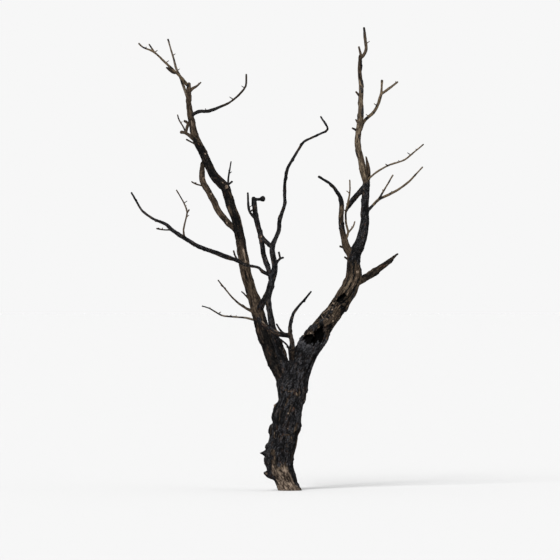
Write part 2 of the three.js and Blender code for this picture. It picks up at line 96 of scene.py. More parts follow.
def seeded(key: float, number: Array | float) -> Array:
    """Gives the same value, from 0 up to 1, for the same key and number.

    Args:
        key: Names the limb.
        number: Names the draw, one or many.

    Returns:
        The seeded values.
    """
    value = np.sin(np.asarray(number, float) * NUMBER_STEP + key * KEY_STEP) * SPREAD
    return value - np.floor(value)


def draws(key: float, number: int, apart: int, count: int) -> list[float]:
    """Makes several draws for one thing.

    Args:
        key: Names the limb.
        number: Names the thing.
        apart: How far apart the draws' numbers are.
        count: How many.

    Returns:
        Values from 0 up to 1.
    """
    return [float(seeded(key, number + apart * draw)) for draw in range(count)]


def varied(drawn: float) -> float:
    """Turns a draw into a share of a planned size, from 0.6 up to 1.4."""
    return 0.6 + 0.8 * drawn


def branch_key(key: float, number: int) -> float:
    """Gives the key of a stem's fork or spur, counted from 1."""
    return key + number / BRANCH_KEYS


def wander(key: float, place: Array | float) -> Array:
    """Draws a smooth random line through seeded values.

    Args:
        key: Names the line.
        place: Where on the line, one place or many.

    Returns:
        Values from -1 to 1.
    """
    step = np.floor(place)
    ease = (1 - np.cos((place - step) * np.pi)) / 2
    start, end = seeded(key, step), seeded(key, step + 1)
    return 2 * (start + (end - start) * ease) - 1


# ---- noise for relief
HASH_AXES = (374761393, 668265263, 2246822519)
HASH_SALT = 3266489917
HASH_ROUNDS = ((13, 1274126177), (15, 2654435761))
LAST_SHIFT = 16
HASH_RANGE = 2**32
OCTAVE_TOTAL = 1.5  # about what the octaves of rough noise add up to


class Salt(IntEnum):
    """What sets one pattern of noise apart from another."""

    LUMPS = 11
    WARP = 21
    PLATES = 31
    CRUMBS = 41
    FIBRES = 51
    BURN = 61
    TIP = 71
    FOOT = 81
    STAINS = 83
    EDGE = 91
    SLEEVE = 93
    TWIG_BARK = 95
    ROT = 97
    TWIG_LUMPS = 97
    TWIG_BURN = 99


def lattice(corner: Array, salt: int) -> Array:
    """Hashes whole-number points.

    Args:
        corner: Points of whole numbers, with x, y and z on the last axis.
        salt: Sets one pattern apart from another.

    Returns:
        A value from 0 up to 1 for each point.
    """
    whole = corner.astype(np.int64).astype(np.uint32)
    mixed = sum(whole[..., axis] * np.uint32(prime) for axis, prime in enumerate(HASH_AXES))
    mixed = mixed + np.uint32(int(salt) * HASH_SALT % HASH_RANGE)
    for shift, prime in HASH_ROUNDS:
        mixed = (mixed ^ (mixed >> np.uint32(shift))) * np.uint32(prime)
    return (mixed ^ (mixed >> np.uint32(LAST_SHIFT))).astype(np.float64) / HASH_RANGE


def smooth(share: Array) -> Array:
    """Eases a share from 0 to 1, with nothing outside that."""
    share = np.clip(share, 0, 1)
    return share * share * (3 - 2 * share)


def noise(points: Array, salt: int) -> Array:
    """Value noise with one feature to each unit of length.

    Args:
        points: Points with x, y and z on the last axis.
        salt: Sets one pattern apart from another.

    Returns:
        Values from -1 to 1.
    """
    base = np.floor(points)
    ease = smooth(points - base)
    total = np.zeros(points.shape[:-1])
    for corner in np.ndindex(2, 2, 2):
        weight = np.prod(np.where(corner, ease, 1 - ease), axis=-1)
        total += weight * lattice(base + corner, salt)
    return 2 * total - 1


def rough_noise(points: Array, salt: int, octaves: int = 3) -> Array:
    """Adds up octaves of noise, each twice as fine and half as strong as the last.

    Args:
        points: Points with x, y and z on the last axis.
        salt: Sets one pattern apart from another.
        octaves: How many.

    Returns:
        Values of about -1 to 1.
    """
    total = np.zeros(points.shape[:-1])
    for octave in range(octaves):
        total += noise(points * 2**octave, salt + octave) / 2**octave
    return total / OCTAVE_TOTAL


def cells(points: Array, salt: int) -> tuple[Array, Array]:
    """Splits space into irregular cells, one to each unit cube.

    Args:
        points: Points with x, y and z on the last axis.
        salt: Sets one pattern apart from another.

    Returns:
        How far each point is from its cell's wall, and its cell's own value from 0 up to 1.
    """
    base = np.floor(points)
    nearest = np.full(points.shape[:-1], FAR)
    second = np.full(points.shape[:-1], FAR)
    tone = np.zeros(points.shape[:-1])
    for corner in np.ndindex(3, 3, 3):
        cell = base + corner - 1
        seed = np.stack([lattice(cell, salt + i) for i in range(3)], axis=-1)
        away = np.linalg.norm(cell + seed - points, axis=-1)
        closer = away < nearest
        second = np.where(closer, nearest, np.minimum(second, away))
        tone = np.where(closer, seed[..., 0], tone)
        nearest = np.where(closer, away, nearest)
    return second - nearest, tone


# ---- courses
@dataclass(frozen=True)
class Growth:
    """How limbs grow, by the same rule as the frame's solids."""

    corner: float = 42  # how far before and after a corner a course starts to round it,
    corner_share: float = 0.4  # and the most of a stretch that this takes
    collar: float = 0.3  # swell where a limb leaves its carrier, as a share of its girth
    sunk_foot: float = 1.6  # most girth of a limb at its foot, in radii of its carrier
    crook: float = 0.16  # sideways wander, as a share of the girth
    crook_limit: float = 7
    crook_length: float = 130
    knotty: float = 0.05  # swell and waist along a limb, as a share of its girth
    knot_length: float = 1.6
    flutes: float = 0.05
    flute_turn: float = 260
    tip: float = 0.5  # a tip's point lies this far past the end, in girths
    ease: float = 0.45  # a skin's bends are eased over this many girths each way,
    ease_limit: float = 60  # and at most over this length,
    ease_steps: int = 9  # by the mean of this many places
    spur_spacing: float = 320
    spur_length: float = 24  # shorter than the solids' spurs, which are 34
    spur_girth: float = 9
    spur_taper: float = 0.7
    spur_lean: float = 55
    spur_spread: float = 30
    spur_from: float = 0.3
    spur_to: float = 0.9


GROWTH = Growth()


class Course:
    """A line through corners that are slightly rounded."""

    def __init__(self, corners: Array) -> None:
        """Rounds the corners and measures the line.

        Args:
            corners: The points that the line passes, one a row.
        """
        points = [corners[0]]
        for before, here, after in zip(corners[:-2], corners[1:-1], corners[2:]):
            back, on = before - here, after - here
            start, end = (here + way * min(GROWTH.corner_share, GROWTH.corner / np.linalg.norm(way))
                          for way in (back, on))
            points += [start, (start + 2 * here + end) / 4, end]
        points.append(corners[-1])
        self.points = np.array(points)
        steps = np.linalg.norm(np.diff(self.points, axis=0), axis=1)
        self.reach = np.concatenate([[0], np.cumsum(steps)])
        self.length = float(self.reach[-1])

    def at(self, distance: Array | float) -> Array:
        """Gives the points at distances along the line."""
        return np.stack([np.interp(distance, self.reach, axis) for axis in self.points.T], axis=-1)


def corners_of(start: Array, stretches: Sequence[Stretch]) -> Array:
    """Walks a course's stretches.

    Args:
        start: Where the course begins.
        stretches: The course.

    Returns:
        The start and the end of each stretch, one a row.
    """
    corners = [np.asarray(start, float)]
    for length, lean, toward in stretches:
        tilt, forward = math.radians(lean), math.tan(math.radians(toward))
        corners.append(corners[-1] + length * np.array([math.sin(tilt), -forward, math.cos(tilt)]))
    return np.array(corners)


# ---- plans
@dataclass(frozen=True)
class Bulge:
    """A swelling of the trunk, or a hollow where out is below 0."""

    height: float
    side: float  # direction in radians, 0 to the right and -pi/2 to the front
    out: float
    tall: float
    wide: float
    edge: float  # 1 fades out softly, and more ends in a steeper edge


@dataclass(frozen=True)
class Plan:
    """One limb or one branch of a mass: where it grows and which way it goes."""

    name: str
    on: str  # what carries it,
    at: float  # and where along that, as a share of its length
    girths: Sequence[float]  # diameters, spread evenly from foot to tip
    course: Sequence[Stretch] = ()
    forks: Sequence["Plan"] = ()
    to: str = ""  # what it lands on, if it ties two limbs together,
    landing: float = 0  # and where along that
    bow: Sequence[float] = (0, 0, 0)


@dataclass(frozen=True)
class Feature:
    """What a small patch of a limb's surface is like."""

    wide: float
    tall: float
    out: float  # how far it stands out, or is sunk where below 0
    burn: float  # from 0, bare wood, to 1, char
    bare: float = 0  # 1 where it is broken open to pale wood
    dark: float = 0  # how much painted shade darkens it, as if it lay deep


@dataclass(frozen=True)
class Mark:
    """A feature that has its own place on the front: a knot, a ridge, a scar or a burnt-out spot."""

    right: float  # how far right of the trunk's foot it lies,
    height: float  # and how far above the ground
    lean: float  # degrees that its length leans from upright, + to the right
    feature: Feature


@dataclass(frozen=True)
class Scatter:
    """Features of one kind that are dealt out all round a limb by a seeded rule."""

    salt: float  # sets one kind apart from another
    spacing: float  # one to about this length of a limb that is 100 mm thick
    turn: float  # the most that its length turns from the limb's own, in degrees
    feature: Feature


@dataclass(frozen=True)
class Pocket:
    """A hollow burnt into a limb's front."""

    share: float  # where along the limb,
    aside: float  # and how far to the right of its middle
    wide: float
    tall: float
    deep: float
    turn: float  # how far its length leans from the limb's own, in degrees


@dataclass(frozen=True)
class Scorch:
    """How the fire left one limb."""

    slot: str
    burn: Sequence[tuple[float, float]]  # (height, burn) from 0, bare wood, to 1, char
    sides: int = 32  # faces round the limb
    ragged: float = 0.5  # how uneven a broken tip is, in girths
    lumps: float = 1  # slow unevenness, 1 as on a bough


class Limb:
    """One tapering limb, as a rule."""

    def __init__(self, key: float, corners: Array, girths: Sequence[float], carrier_radius: float = 0,
                 level: bool = False) -> None:
        """Lays the limb's course.

        Args:
            key: Its seed.
            corners: Its course's corners.
            girths: Diameters, spread evenly from the foot to the tip.
            carrier_radius: Radius of what it grows on, or 0.
            level: True for the trunk, whose rings lie level.
        """
        self.key, self.level = key, level
        self.course = Course(corners)
        self.length = self.course.length
        self.girths = np.asarray(girths, float)
        self.carrier_radius = carrier_radius

    def plain_girth(self, distance: Array | float) -> Array:
        """Gives the girth with no collar and no knots."""
        places = np.linspace(0, self.length, len(self.girths))
        return np.interp(distance, places, self.girths)

    def girth_at(self, distance: Array | float) -> Array:
        """Gives the girth, with the collar at the foot and the seeded knots.

        Args:
            distance: How far along the limb, one place or many.

        Returns:
            Diameters.
        """
        plain = self.plain_girth(distance)
        if self.level:
            return plain
        clear = np.maximum(0, distance - self.carrier_radius)
        collar = np.where(plain < self.carrier_radius, GROWTH.collar * np.exp(-clear / plain), 0)
        place = distance / (GROWTH.knot_length * plain + GROWTH.corner)
        knots = GROWTH.knotty * wander(self.key + KEYS.knotty, place)
        full = plain * (1 + collar + knots)
        if self.carrier_radius <= 0:
            return full
        return np.minimum(GROWTH.sunk_foot * self.carrier_radius + distance, full)

    def middle_at(self, distance: Array | float) -> Array:
        """Gives the middle of the limb, with its seeded crook.

        Args:
            distance: How far along the limb, one place or many.

        Returns:
            Points.
        """
        middle = self.course.at(distance)
        if self.level:
            return middle
        sway = np.minimum(GROWTH.crook * self.girth_at(distance), GROWTH.crook_limit)
        sway = sway * np.minimum(1, np.asarray(distance) / GROWTH.crook_length)
        for axis, key in enumerate((KEYS.crook_right, KEYS.crook_away)):
            middle[..., axis] += sway * wander(self.key + key, distance / GROWTH.crook_length)
        return middle

    def smooth_middle(self, distance: Array) -> Array:
        """Gives the middle of the limb with its bends eased.

        Args:
            distance: How far along the limb, for many places.

        Returns:
            Points.
        """
        ease = np.minimum(GROWTH.ease * self.girth_at(distance), GROWTH.ease_limit)
        ease = np.minimum(ease, np.minimum(distance, self.length - distance))
        shares = np.linspace(-1, 1, GROWTH.ease_steps)
        return sum(self.middle_at(distance + share * ease) for share in shares) / len(shares)


def limb_from(carrier: Limb, plan: Plan, key: float) -> Limb:
    """Starts a limb in the middle of its carrier.

    Args:
        carrier: What it grows on.
        plan: Its plan.
        key: Its seed.

    Returns:
        The limb.
    """
    distance = plan.at * carrier.length
    corners = corners_of(carrier.middle_at(distance), plan.course)
    return Limb(key, corners, plan.girths, float(carrier.girth_at(distance)) / 2)


# ---- the tree's plan
RIGHT = 0.0
LEFT = math.pi
FRONT_LEFT = -0.8 * math.pi
FRONT_RIGHT = -0.2 * math.pi
FRONT = -0.5 * math.pi

TRUNK_GIRTHS = (250, 232, 296, 290, 300, 308, 292, 306, 302, 290, 268, 282, 268)
TRUNK_COURSE = ((110, -23, 0), (120, -34, 0), (150, -4, 0), (250, 12, 2), (210, 10, 3), (200, 17, 3),
                (170, -3, 0))
TRUNK_BULGES = (
    Bulge(165, LEFT, 44, 44, 0.6, 3),
    Bulge(320, LEFT, 22, 60, 0.5, 2),
    Bulge(425, LEFT, 15, 50, 0.45, 2),
    Bulge(486, LEFT, 22, 28, 0.35, 2),
    Bulge(665, LEFT, 19, 56, 0.5, 2),
    Bulge(733, LEFT, -15, 16, 0.4, 1),
    Bulge(862, LEFT, 18, 86, 0.5, 3),
    Bulge(925, LEFT, 14, 26, 0.35, 1),
    Bulge(500, FRONT_LEFT, 16, 120, 0.5, 1),
    Bulge(700, FRONT_RIGHT, 12, 90, 0.6, 1),
    Bulge(670, RIGHT, 12, 60, 0.5, 2),
    Bulge(980, RIGHT, 20, 48, 0.5, 2),
    Bulge(60, FRONT, -14, 90, 0.6, 1),
)
TRUNK_SPIKE = Plan("spike", "trunk", 0.352, (74, 76, 74, 58, 6), ((212, -88, 14),))
SPIKE_KEY = 0.5


@dataclass(frozen=True)
class Plates:
    """The large plates of the trunk's cracked char, in staggered rows, some proud and some sunk."""

    trunk_height: float = 1200
    spacing: float = 145  # from row to row
    lowest: float = 0.6  # height of the lowest row, in spacings
    columns: int = 6
    out: float = 7
    tall: float = 58
    wide: float = 0.36
    edge: float = 2
    shift: float = 0.3  # how far a plate may lie from its even place

    def bulges(self) -> list[Bulge]:
        """Deals out the plates by the frame's own seeded rule.

        Returns:
            A bulge for each plate, or a hollow where it is sunk.
        """
        plates = []
        for row in range(int(self.trunk_height // self.spacing)):
            for column in range(self.columns):
                aside, up, out = (2 * drawn - 1 for drawn in draws(row + 0.5, column, apart=20, count=3))
                height = (row + self.lowest + self.shift * up) * self.spacing
                place = column + (row % 2) / 2 + self.shift * aside
                plates.append(Bulge(height, place / self.columns * FULL_TURN, self.out * out, self.tall,
                                    self.wide, self.edge))
        return plates


LIMBS = (
    Plan("right_bough", "trunk", 0.92, (272, 246, 230, 182, 176, 142, 101, 78, 70, 62, 59, 42, 34), (
        (315, 17, 4), (235, 29, 10), (215, 31, 14), (260, 40, 12), (247, 31, 12), (134, 23, 8),
        (234, -3, 4), (142, 29, -5), (219, 16, -7), (312, 2, -8), (140, 4, -6), (207, -13, -4),
        (239, -12, -2), (260, 6, 2), (325, 3, 2), (215, -6, 4), (140, 2, 4))),
    Plan("right_inner_limb", "right_bough", 0.424, (78, 76, 58, 50, 42, 28, 20), (
        (140, -29, 20), (237, -16, 24), (212, 2, 22), (103, -6, 20), (167, -37, 24), (155, -60, 26)),
        forks=(Plan("peg", "", 0.12, (22, 20), ((78, -72, 0),)),)),
    Plan("right_broken_limb", "right_bough", 0.361, (70, 70, 70, 64, 44, 14), (
        (76, 86, -16), (89, 66, -28), (241, 55, -30), (176, 49, -24))),
    Plan("hanging_limb", "right_bough", 0.638, (56, 57, 54, 18), (
        (135, -134, -20), (128, -142, -16), (98, -156, -10))),
    Plan("leader_splinter", "right_bough", 0.64, (46, 46, 36, 14), (
        (88, 12, -34), (92, 1, -14), (118, -12, -4))),
    Plan("left_bough", "trunk", 0.9, (190, 160, 150, 138, 110, 110, 104, 96, 98, 92, 80, 62, 30), (
        (378, -30, -14), (230, -21, -14), (165, -19, -12), (335, -15, -11), (216, -19, -10),
        (390, -11, -10), (225, -9, -8), (240, -21, -6), (170, -10, -4), (178, -46, -2), (180, -28, -4),
        (328, -25, -6), (174, -12, -4), (230, -8, -2), (165, 4, 0))),
    Plan("left_side_bough", "left_bough", 0.522, (68, 64, 62, 62, 66, 44), (
        (156, -50, -34), (128, -40, -30), (255, -29, -22), (111, -30, -16), (125, -11, -12), (105, 2, -8))),
    Plan("centre_bough", "trunk", 1, (96, 92, 60, 70, 44, 34, 30, 22, 16), (
        (350, -20, 5), (292, -17, 6), (316, -10, 4), (218, 12, 3), (118, 22, 4), (220, -11, 5),
        (212, 22, 10), (87, -4, 12), (207, 21, 16), (195, -5, 18), (180, 11, 16), (342, 31, 16),
        (295, 66, 22), (165, -32, 4))),
    Plan("centre_strand", "centre_bough", 0.335, (60, 62, 66), to="left_bough", landing=0.275,
         bow=(0, 0, -14)),
    Plan("centre_left_limb", "centre_bough", 0.356, (52, 52, 48, 54, 56, 50), (
        (115, -17, -8), (181, -18, -10), (196, -10, -10), (245, -12, -10), (167, -6, -8)),
        forks=(Plan("hook", "", 0.995, (42, 28, 30, 64), ((50, 93, 24), (46, 80, 16))),)),
    Plan("long_left_limb", "centre_bough", 0.37, (40, 26, 38, 46, 40, 42, 28, 21, 16), (
        (118, -66, 14), (61, -37, 18), (165, -81, 20), (100, -59, 18), (433, -70, 18), (182, -60, 14),
        (157, -55, 10), (70, -41, 10), (174, -69, 12), (128, -54, 12), (234, -30, 6))),
    Plan("centre_join", "centre_bough", 0.473, (52, 46, 50), to="centre_left_limb", landing=0.54,
         bow=(0, 0, -12)),
    Plan("crotch_limb", "trunk", 1, (58, 52, 44, 28, 16), (
        (290, 0, 26), (115, 8, 20), (140, -13, 16), (110, 3, 14), (105, 15, 14), (300, 39, 12))),
    Plan("crossing_limb", "crotch_limb", 0.5, (52, 50, 34, 22, 14, 12), (
        (140, -83, 10), (210, -56, 10), (105, -28, 6), (215, -59, 12), (110, -49, 12), (240, -39, 10))),
)

TWIGS = (
    Plan("left_low_twigs", "left_bough", 0.241, (20, 17, 13), (
        (163, -74, -30), (265, -86, -24), (165, -58, -18), (75, -75, -14))),
    Plan("left_little_twigs", "left_bough", 0.292, (16, 15, 12), (
        (84, -54, -34), (98, -38, -28), (38, -51, -20))),
    Plan("left_tip_twigs", "left_bough", 0.951, (31, 30, 26, 20, 15), (
        (185, -20, -14), (180, -23, -10), (145, -16, -4), (190, -16, 4))),
    Plan("left_forked_twigs", "left_bough", 0.99, (34, 27, 25, 20, 15), (
        (130, -39, 34), (212, -47, 22), (198, -47, 18), (121, -71, 12), (60, -44, 8)),
        forks=(Plan("", "", 0.74, (18, 14), ((105, -34, 22),)),
               Plan("", "", 0.3, (32, 40, 38, 18), ((40, -72, 4), (82, -58, 14))))),
    Plan("left_top_twigs", "left_bough", 0.973, (40, 26, 15), ((58, 36, -30), (55, 68, -26), (62, 44, -20))),
    Plan("left_high_twigs", "left_bough", 0.902, (38, 36, 23, 19, 15), (
        (101, 56, 30), (111, 95, 30), (233, 68, 28), (125, 55, 20), (146, 41, 14), (128, 0, 6))),
    Plan("left_cluster_twigs", "left_bough", 0.824, (40, 38, 32), ((158, -53, -32), (45, -82, -20)), forks=(
        Plan("", "", 0.78, (18, 15, 13), ((60, -17, -10), (105, -34, -8), (55, -11, 0))),
        Plan("", "", 0.78, (32, 30, 30, 26), ((70, 12, -16), (42, 20, -6), (50, -60, -4))))),
    Plan("left_prong_twigs", "left_bough", 0.807, (20, 15), ((95, -63, 24), (65, -62, 16))),
    Plan("upright_twigs", "left_bough", 0.657, (23, 22, 15, 12), ((60, 26, 26), (88, 4, 14), (150, 9, 8)),
         forks=(Plan("", "", 0.12, (22, 22), ((68, 50, 8),)),)),
    Plan("side_bough_twigs", "left_side_bough", 0.73, (15, 12), ((100, -78, -22), (58, -59, -16))),
    Plan("long_limb_upright_twigs", "long_left_limb", 0.585, (20, 17, 14, 13), (
        (92, -9, -20), (198, 14, -18), (94, -21, -14), (170, -31, -12)),
        forks=(Plan("", "", 0.51, (13, 12), ((40, 34, -10),)),)),
    Plan("long_limb_under_twigs", "long_left_limb", 0.67, (17, 14), ((85, -93, -14), (82, -78, -10))),
    Plan("long_limb_split_twigs", "long_left_limb", 0.235, (14, 12), ((130, -79, 26), (130, -67, 14))),
    Plan("long_limb_peg_twigs", "long_left_limb", 0.228, (19, 15), ((72, -35, -24), (60, -15, -14))),
    Plan("hook_twigs", "centre_left_limb", 0.755, (23, 25, 20), (
        (103, -47, 34), (70, -10, 14), (140, -2, 4))),
    Plan("centre_peg_twigs", "centre_bough", 0.411, (30, 24, 20), ((92, 41, -26), (30, 80, -10)),
         forks=(Plan("", "", 0.74, (21, 18), ((70, -13, -6),)),)),
    Plan("inner_twigs", "right_inner_limb", 0.21, (24, 22, 18, 14), (
        (95, 27, 26), (95, -20, 12), (130, -2, 6), (210, 14, 8), (140, -3, 4)),
        forks=(Plan("", "", 0.15, (18, 14), ((84, 42, 18), (58, 16, 8))),)),
    Plan("right_fine_twigs", "right_bough", 0.649, (18, 16, 15, 13), (
        (150, 50, 34), (135, 60, 30), (185, 73, 26), (260, 50, 20))),
    Plan("right_fork_twigs", "right_bough", 0.557, (36, 28, 20, 14), (
        (215, 44, -32), (245, 64, -28), (145, 53, -24), (210, 42, -18)),
        forks=(Plan("", "", 0.27, (20, 15, 13), ((205, 31, -10), (106, 30, -8))),)),
    Plan("right_high_twigs", "right_bough", 0.775, (39, 36, 32, 28), (
        (160, 19, -34), (184, 47, -32), (99, 22, -28), (118, 16, -26)),
        forks=(Plan("", "", 0.97, (27, 25, 18), ((100, 55, -28), (126, 52, -24))),
               Plan("", "", 0.98, (24, 21, 27), ((140, 5, -6),)))),
    Plan("right_top_twigs", "right_bough", 0.994, (32, 30, 32, 28, 22), (
        (58, 50, -18), (62, 23, -12), (80, -8, -4), (155, -7, 0)),
        forks=(Plan("", "", 0.05, (24, 20), ((112, -14, 14),)),)),
    Plan("leader_peg_twigs", "right_bough", 0.885, (22, 18), ((76, -43, 24),)),
    Plan("leader_middle_twigs", "right_bough", 0.806, (20, 17), ((72, -32, 24),)),
    Plan("leader_lower_twigs", "right_bough", 0.79, (20, 16), ((74, -64, 12),)),
    Plan("bough_peg_twigs", "right_bough", 0.412, (24, 18), ((112, -56, 8),)),
    Plan("crossing_prong_twigs", "crossing_limb", 0.06, (24, 20, 16), ((74, -44, 20), (74, -31, 8))),
    Plan("crotch_thin_twigs", "trunk", 1, (20, 18, 15), ((400, -5, 28), (110, -49, 20)),
         forks=(Plan("", "", 0.72, (15, 13), ((64, 16, 16),)),)),
)

LATE_LIMBS = (
    Plan("hook_lower_rung", "hook_twigs", 0.38, (14, 14), to="centre_left_limb", landing=0.88,
         bow=(0, 0, 4)),
    Plan("long_limb_strand", "long_left_limb", 0.557, (18, 16, 17), to="long_left_limb", landing=0.664,
         bow=(14, 18, -22)),
)

SCORCHES = {
    "trunk": Scorch("charred_bark", ((0, 1),), sides=156, ragged=0, lumps=0.4),
    "right_bough": Scorch("charred_bark", (
        (1640, 1), (1700, 0.66), (2000, 0.52), (2180, 0.4), (2300, 0.46), (2400, 0.64), (2520, 0.8),
        (2640, 0.93), (3280, 0.95), (3360, 0.32), (4400, 0.24), (4560, 0.62)), sides=128),
    "right_inner_limb": Scorch("charred_bark", (
        (2500, 0.5), (2820, 0.5), (2850, 1), (2910, 1), (2930, 0.4), (3020, 0.45), (3060, 0.95)), sides=36),
    "right_broken_limb": Scorch("scorched_bark", ((0, 0.74),), sides=40, ragged=1.2, lumps=2),
    "hanging_limb": Scorch("charred_bark", ((0, 0.92),), sides=36, ragged=1.0),
    "leader_splinter": Scorch("tan_wood", ((3300, 0.9), (3420, 0.66), (3480, 0.5)), sides=32, ragged=1.2),
    "left_bough": Scorch("scorched_bark", (
        (1000, 0.92), (1830, 0.9), (1930, 0.6), (2560, 0.54), (2660, 0.74), (2820, 0.93), (3700, 0.9),
        (3830, 0.62), (4060, 0.6), (4300, 0.46)), sides=96),
    "left_side_bough": Scorch("pale_wood", ((0, 0.8), (2930, 0.66), (3300, 0.6)), sides=40, ragged=0.9),
    "centre_bough": Scorch("charred_bark", ((1500, 0.97), (1560, 0.8), (1900, 0.92)), sides=60),
    "centre_strand": Scorch("charred_bark", ((0, 0.97),), sides=32),
    "centre_left_limb": Scorch("charred_bark", ((0, 0.93),), sides=32, ragged=0.3),
    "long_left_limb": Scorch("charred_bark", ((0, 0.84),), sides=26, ragged=0.2),
    "centre_join": Scorch("charred_bark", ((0, 0.93),), sides=20),
    "crotch_limb": Scorch("charred_bark", (
        (1350, 0.95), (1450, 0.66), (1720, 0.7), (1850, 0.92)), sides=32, ragged=0.2),
    "crossing_limb": Scorch("charred_bark", (
        (1660, 0.66), (1700, 0.86), (1860, 0.86), (1900, 0.5)), sides=26, ragged=0.2),
    "hook_lower_rung": Scorch("scorched_bark", ((0, 0.98),), sides=12),
    "long_limb_strand": Scorch("charred_bark", ((0, 0.93),), sides=14),
}


def ridge(right: float, height: float, tall: float, lean: float, bare: float = 0.3) -> Mark:
    """Gives a thin proud ridge of scorched wood."""
    return Mark(right, height, lean, Feature(wide=10, tall=tall, out=9, burn=0.42, bare=bare))


def spot(right: float, height: float, size: float = 12) -> Mark:
    """Gives a small spot of pale wood."""
    return Mark(right, height, 0, Feature(wide=size, tall=1.2 * size, out=4, burn=0.3, bare=0.9))


def groove(right: float, height: float, tall: float, lean: float, wide: float = 10) -> Mark:
    """Gives a long charred groove, darkened with painted shade."""
    return Mark(right, height, lean, Feature(wide=wide, tall=tall, out=-7, burn=1, dark=0.9))


def flake(right: float, height: float, lean: float) -> Mark:
    """Gives a flake of char that stands off the limb."""
    return Mark(right, height, lean, Feature(wide=18, tall=38, out=9, burn=1))


def patch(right: float, height: float, wide: float, tall: float, lean: float, burn: float) -> Mark:
    """Gives a flat patch that is burnt more or less than what is round it."""
    return Mark(right, height, lean, Feature(wide=wide, tall=tall, out=3, burn=burn))


def strand(*places: tuple[float, float]) -> tuple[Mark, ...]:
    """Gives a grey strand of wood that winds along the front between two grooves.

    Args:
        places: The places that it passes, each (right, height).

    Returns:
        Its marks.
    """
    marks = []
    for (right, height), (right_on, height_on) in zip(places[:-1], places[1:]):
        middle, up = (right + right_on) / 2, (height + height_on) / 2
        lean = math.degrees(math.atan2(right_on - right, height_on - height))
        tall = 0.62 * math.hypot(right_on - right, height_on - height)
        marks += [groove(middle + 26, up - 16, tall, lean),
                  groove(middle - 24, up + 14, tall, lean),
                  Mark(middle, up, lean, Feature(wide=17, tall=tall, out=17, burn=0.56, bare=0.4))]
    return tuple(marks)


MARKS = {
    "trunk": (
        ridge(0, 880, 62, 14), spot(-20, 835, 12), Mark(70, 1040, -10, Feature(12, 34, 5, 0.35, 0.4)),
        groove(190, 1180, 110, 15, 12), groove(-20, 1240, 90, -18, 12),
        Mark(-45, 1088, 70, Feature(11, 30, 4, 0.42, 0.15)),
        Mark(-5, 1072, 98, Feature(10, 34, 3, 0.45, 0.1)),
        patch(-30, 605, 46, 10, 5, 0.5), patch(15, 570, 10, 34, -10, 0.5),
        patch(-20, 475, 34, 7, 0, 0.7), patch(-180, 415, 38, 55, 0, 0.66), patch(-205, 645, 10, 65, 8, 0.5),
        ridge(-165, 605, 54, 4, 0.5), groove(-135, 715, 56, 4, 16), groove(-90, 860, 90, 10),
        spot(-165, 920, 15), spot(-256, 186, 16), patch(68, 510, 9, 85, 8, 0.45),
    ),
    "right_bough": (
        groove(265, 1453, 40, 35, 24), groove(205, 1330, 90, 20, 12), groove(20, 1380, 100, 15, 12),
        ridge(188, 1680, 28, 50, 0.6), spot(226, 1700, 13), ridge(260, 1688, 20, -50, 0.6),
        ridge(298, 1755, 72, 22, 0.4), ridge(400, 1672, 85, 15), groove(340, 1782, 52, 10, 22),
        patch(265, 1760, 34, 50, 20, 1), patch(700, 2420, 22, 90, 5, 0.5),
        flake(128, 1640, 35), flake(170, 1716, 35), flake(218, 1762, 35),
        ridge(395, 1936, 62, 54, 1), ridge(350, 1874, 30, -35, 0.8), spot(460, 1890), spot(416, 1895),
        spot(400, 1852), spot(464, 1830), patch(502, 1944, 36, 50, 30, 0.5), groove(572, 1933, 50, 20, 30),
        spot(464, 2025, 15),
        *strand((508, 2025), (594, 2090), (648, 2165), (691, 2241), (720, 2317)),
        groove(612, 2262, 76, 20), spot(724, 2360, 16), groove(686, 2402, 70, 10),
    ),
    "left_bough": (
        groove(-97, 1507, 260, -23, 20), groove(-170, 1560, 120, -22, 9),
        patch(-238, 1453, 22, 120, -20, 0.76), patch(-135, 1300, 20, 80, -15, 0.74),
        patch(-302, 1680, 18, 86, -18, 0.76), patch(-370, 2052, 26, 34, -20, 0.42),
        Mark(-497, 2555, -10, Feature(17, 88, 7, 0.3, 1)), spot(-476, 2468, 17), groove(-562, 2749, 46, -15),
        groove(-480, 2327, 78, -15), flake(-767, 3256, -30), spot(-688, 3283, 22), spot(-731, 3329, 11),
        spot(-920, 3643, 10), ridge(-1091, 4325, 64, -3), ridge(-1068, 3980, 54, -10, 0.8),
    ),
    "left_side_bough": (
        spot(-933, 3386, 11), spot(-859, 3208, 11), spot(-683, 2893, 11), ridge(-967, 3440, 54, -3),
        ridge(-767, 3040, 64, -35),
    ),
    "centre_bough": (
        groove(-110, 1507, 260, -23, 16), ridge(-54, 1474, 64, -20, 0.15), ridge(-97, 1615, 76, -15, 0.1)),
    "crossing_limb": (ridge(-290, 1815, 42, -45, 0.8), ridge(-150, 1726, 48, -65, 0.5)),
    "centre_left_limb": (spot(-290, 2714, 18), ridge(-310, 2740, 20, 40, 0.6)),
    "right_inner_limb": (spot(588, 2500, 17),),
    "right_broken_limb": (
        flake(934, 2338, 55), flake(1088, 2470, 55), groove(1004, 2425, 76, 52), ridge(875, 2376, 64, 55),
    ),
}

SCATTERS = (
    Scatter(0.13, 130, 14, Feature(6, 34, 4, 0.45, 0.25)),  # scorched ridges
    Scatter(0.23, 95, 10, Feature(7, 62, -7, 1, 0, 0.9)),  # charred grooves, darkened with painted shade
    Scatter(0.33, 300, 60, Feature(8, 10, 3, 0.35, 0.8)),  # pale spots
    Scatter(0.43, 120, 12, Feature(16, 62, 1, 0.62)),  # brown patches
    Scatter(0.53, 150, 20, Feature(17, 46, 5, 1)),  # flakes of char
)

POCKETS = (
    Pocket(0.174, 26, 68, 122, 84, -20),
    Pocket(0.155, -46, 66, 58, 60, 20),
    Pocket(0.303, -24, 30, 72, 56, 12),
)


